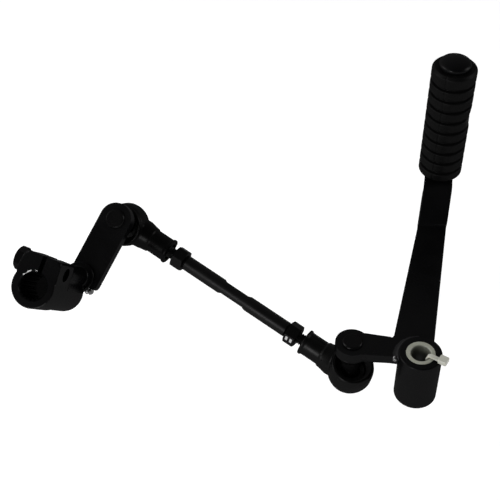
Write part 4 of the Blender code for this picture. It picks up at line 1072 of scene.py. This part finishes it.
# %% [markdown]
# ## Clamp arm
#
# The clamp grips the gearbox's splined shaft. Its arm is plain plate with one round end;
# the clamp is a forging with two ears, split between them so that the pinch bolt can
# draw it tight. The forging is built like the rod ends: joined, remeshed, relaxed at the
# neck, and then slotted, drilled and broached.

# %% Arm plate
ARM_HALF, ARM_END, ARM_CORNER, ARM_LOW, ARM_TOP = 8.0, -33.8, 1.6, 16.7, 21.7
inner = ARM_HALF - ARM_CORNER
arm = (arc((0, 0), ARM_HALF, 0, 180, 48) + arc((-inner, ARM_END), ARM_CORNER, 180, 270, 6)
       + arc((inner, ARM_END), ARM_CORNER, 270, 360, 6))
arm_plate = plate("clamp_arm_plate", arm, ARM_LOW, ARM_TOP, PLATE_EDGE, at_clamp_arm)
fit(arm_plate, "clamp_arm", "black_paint", plate_paint, "clamp_plate")

# %% Clamp forging
BACK, FRONT, EAR_BACK, CLAMP_INSIDE = 22.0, 62.5, 44.9, 47.0
CLAMP_RADIUS, EAR_HALF, EAR_END, EAR_CORNER = 10.3, 9.4, 12.6, 1.8
NECK_X, NECK_Y, CLAMP_SKIN = 4.6, 9.0, 0.28
leave = degrees(acos(EAR_HALF / CLAMP_RADIUS))
ear_x = EAR_HALF - EAR_CORNER
face = (arc((0, 0), CLAMP_RADIUS, 180 - leave, 360 + leave, 60)
        + arc((ear_x, EAR_END), EAR_CORNER, 0, 90, 8)
        + arc((-ear_x, EAR_END), EAR_CORNER, 90, 180, 8))
clamp = plate("split_clamp", face, EAR_BACK, FRONT, 1.2, at_bore, segments=5)
tube = [(0, CLAMP_INSIDE, 0), (9.9, CLAMP_INSIDE, 0), (9.9, BACK, 0.9), (0, BACK, 0)]
neck = [(0, CLAMP_INSIDE, 0), (4.5, CLAMP_INSIDE, 0), (4.5, BACK + 1.6, 1.2), (7.5, BACK + 1.5, 0.7),
        (7.5, BACK, 0.2), (0, BACK, 0)]
turn_with(clamp, tube, at_bore, "UNION")
turn_with(clamp, neck, at_bore @ shift(NECK_X, NECK_Y, 0), "UNION")
remesh(clamp, CLAMP_SKIN)
relax(clamp, 3, lambda p: np.full(len(p), 0.5))
relax(clamp, 30, lambda p: 0.6 * ramp(p[:, 2], 26.0, 30.0) * (1 - ramp(p[:, 2], 46.5, 48.5))
      * ramp(p[:, 1], 1.0, 4.0) * (1 - ramp(p[:, 1], 12.0, 13.0)))

# %% Clamp cuts
SLOT_LEFT, SLOT_RIGHT, SPLINE_DEPTH, SPLINES = -0.3, 1.7, 19.9, 20
TOOTH = ((0.0, 6.05), (0.10, 6.03), (0.20, 6.05), (0.42, 6.6), (0.58, 6.66), (0.76, 6.6))
BOLT_Y, BOLT_BACK, BOLT_HOLE, SHAFT_HOLE = 9.2, 9.8, 3.25, 6.6

slot = [(SLOT_LEFT, 0.0), (SLOT_RIGHT, 0.0), (SLOT_RIGHT, 26.0), (SLOT_LEFT, 26.0)]
shape_with(clamp, plate("slot", slot, EAR_BACK - 1.0, FRONT + 2, 0, at_bore))
at_bolt = at_bore @ on_axes((0, BOLT_Y * MM, (FRONT - BOLT_BACK) * MM), (-1, 0, 0), (0, 1, 0))
turn_with(clamp, bored(BOLT_HOLE, -20, 20), at_bolt, steps=64)
turn_with(clamp, bored(SHAFT_HOLE, BACK - 2, FRONT - SPLINE_DEPTH), at_bore)
teeth = []
for tooth in range(SPLINES):
    for share, radius in TOOTH:
        angle = 2 * pi * (tooth + share) / SPLINES
        teeth.append((radius * cos(angle), radius * sin(angle)))
shape_with(clamp, plate("splines", teeth, FRONT - 20, FRONT + 2, 0, at_bore))
mouth = [(0, FRONT + 2, 0), (9.2, FRONT + 2, 0), (6.5, FRONT - 0.7, 0), (0, FRONT - 0.7, 0)]
turn_with(clamp, mouth, at_bore)
fit(clamp, "clamp_arm", "black_paint", forging_paint, "clamp_boss", angle=38)

# %% Clamp weld
bead_path = [(7.6, -36.3, 20.3), (5.0, -36.5, 20.6), (2.0, -36.6, 20.7), (-1.0, -36.6, 20.5),
             (-3.6, -36.6, 20.3)]
clamp_bead = weld("clamp_weld_bead", bead_path, at_clamp_arm, 1.9, seed=11, pitch=2.2, ripple=0.2)
fit(clamp_bead, "clamp_arm", "black_paint", bead_paint, "clamp_weld", angle=60)

# %% Pinch bolt
HEAD_LOW, HEAD_TOP, SHANK_RADIUS, SHANK_END = 11.4, 15.4, 2.9, -7.8
WASHER_RADIUS, WASHER_BORE, WASHER_LOW, WASHER_TOP = 5.0, 3.2, 9.7, 11.1

bolt = hex_piece("pinch_bolt_head", HEAD_LOW, HEAD_TOP, at_bolt, 0.0, both=False)
shank = [(0, 12.0, 0), (SHANK_RADIUS, 12.0, 0), (SHANK_RADIUS, SHANK_END, 0.4), (0, SHANK_END, 0)]
turn_with(bolt, shank, at_bolt, "UNION", steps=64)
# The bolt wears the darker, shaded copy of the steel: painted shade.
fit(bolt, "clamp_arm", "black_steel", shaded_forged_steel, "pinch_bolt", angle=24)
washer = [(WASHER_RADIUS, WASHER_TOP, 0.25), (WASHER_RADIUS, WASHER_LOW, 0.25),
          (WASHER_BORE, WASHER_LOW, 0.1), (WASHER_BORE, WASHER_TOP, 0.1)]
fit(lathe("pinch_bolt_washer", washer, at_bolt, closed=True), "clamp_arm", "black_steel", nut_steel,
    "pinch_washer")

# %% [markdown]
# ## Cable tie
#
# A cut-off tie is left in the pivot bore. A strap bends smoothly, so its path is a curve
# through a few points; the section is a thin flat bar with chamfered corners, and the
# tie's square head is joined to its end.

# %% Cable tie
TIE_TURN = radians(-32)
STRAP = ((-1.1, -0.25), (-0.9, -0.45), (0.9, -0.45), (1.1, -0.25),
         (1.1, 0.25), (0.9, 0.45), (-0.9, 0.45), (-1.1, 0.25))
STATIONS = [(3.35, 9.0), (3.35, 22.0), (3.4, 27.4), (3.75, 28.95), (4.65, 29.75), (5.95, 29.85),
            (8.0, 29.8), (10.4, 29.75)]
tie_way = Vector((cos(TIE_TURN), sin(TIE_TURN), 0))
tie_side = Vector((-tie_way.y, tie_way.x, 0))


def through(points, steps=8):
    """A smooth path through points."""
    path = []
    for i in range(len(points) - 1):
        p0, p1, p2, p3 = (Vector(points[min(max(i + d, 0), len(points) - 1)])
                          for d in (-1, 0, 1, 2))
        for k in range(steps):
            t = k / steps
            path.append(0.5 * (2 * p1 + (p2 - p0) * t + (2 * p0 - 5 * p1 + 4 * p2 - p3) * t * t
                               + (3 * p1 - p0 - 3 * p2 + p3) * t ** 3))
    return path + [Vector(points[-1])]


edit, rings = bmesh.new(), []
path = through(STATIONS)
for i, spot in enumerate(path):
    run = (path[min(i + 1, len(path) - 1)] - path[max(i - 1, 0)]).normalized()
    normal = Vector((-run.y, run.x))
    ring = []
    for u, v in STRAP:
        at = spot + normal * v
        ring.append(edit.verts.new((tie_way * at.x + tie_side * u + Vector((0, 0, at.y))) * MM))
    rings.append(ring)
strap = capped_run("cable_tie_strap", edit, rings, at_pivot)
corners = [(-2.1, -2.0, 0.6), (2.1, -2.0, 0.6), (2.1, 2.0, 0.6), (-2.1, 2.0, 0.6)]
at_head = on_axes((tie_way * 11.0 + Vector((0, 0, 30.6))) * MM, (0, 0, 1), tie_way)
head = plate("tie_head", rounded(corners, closed=True), -1.3, 1.3, 0.4, at_head)
shape_with(strap, head, "UNION")
fit(strap, "lever", "white_nylon", tie_nylon, "cable_tie")
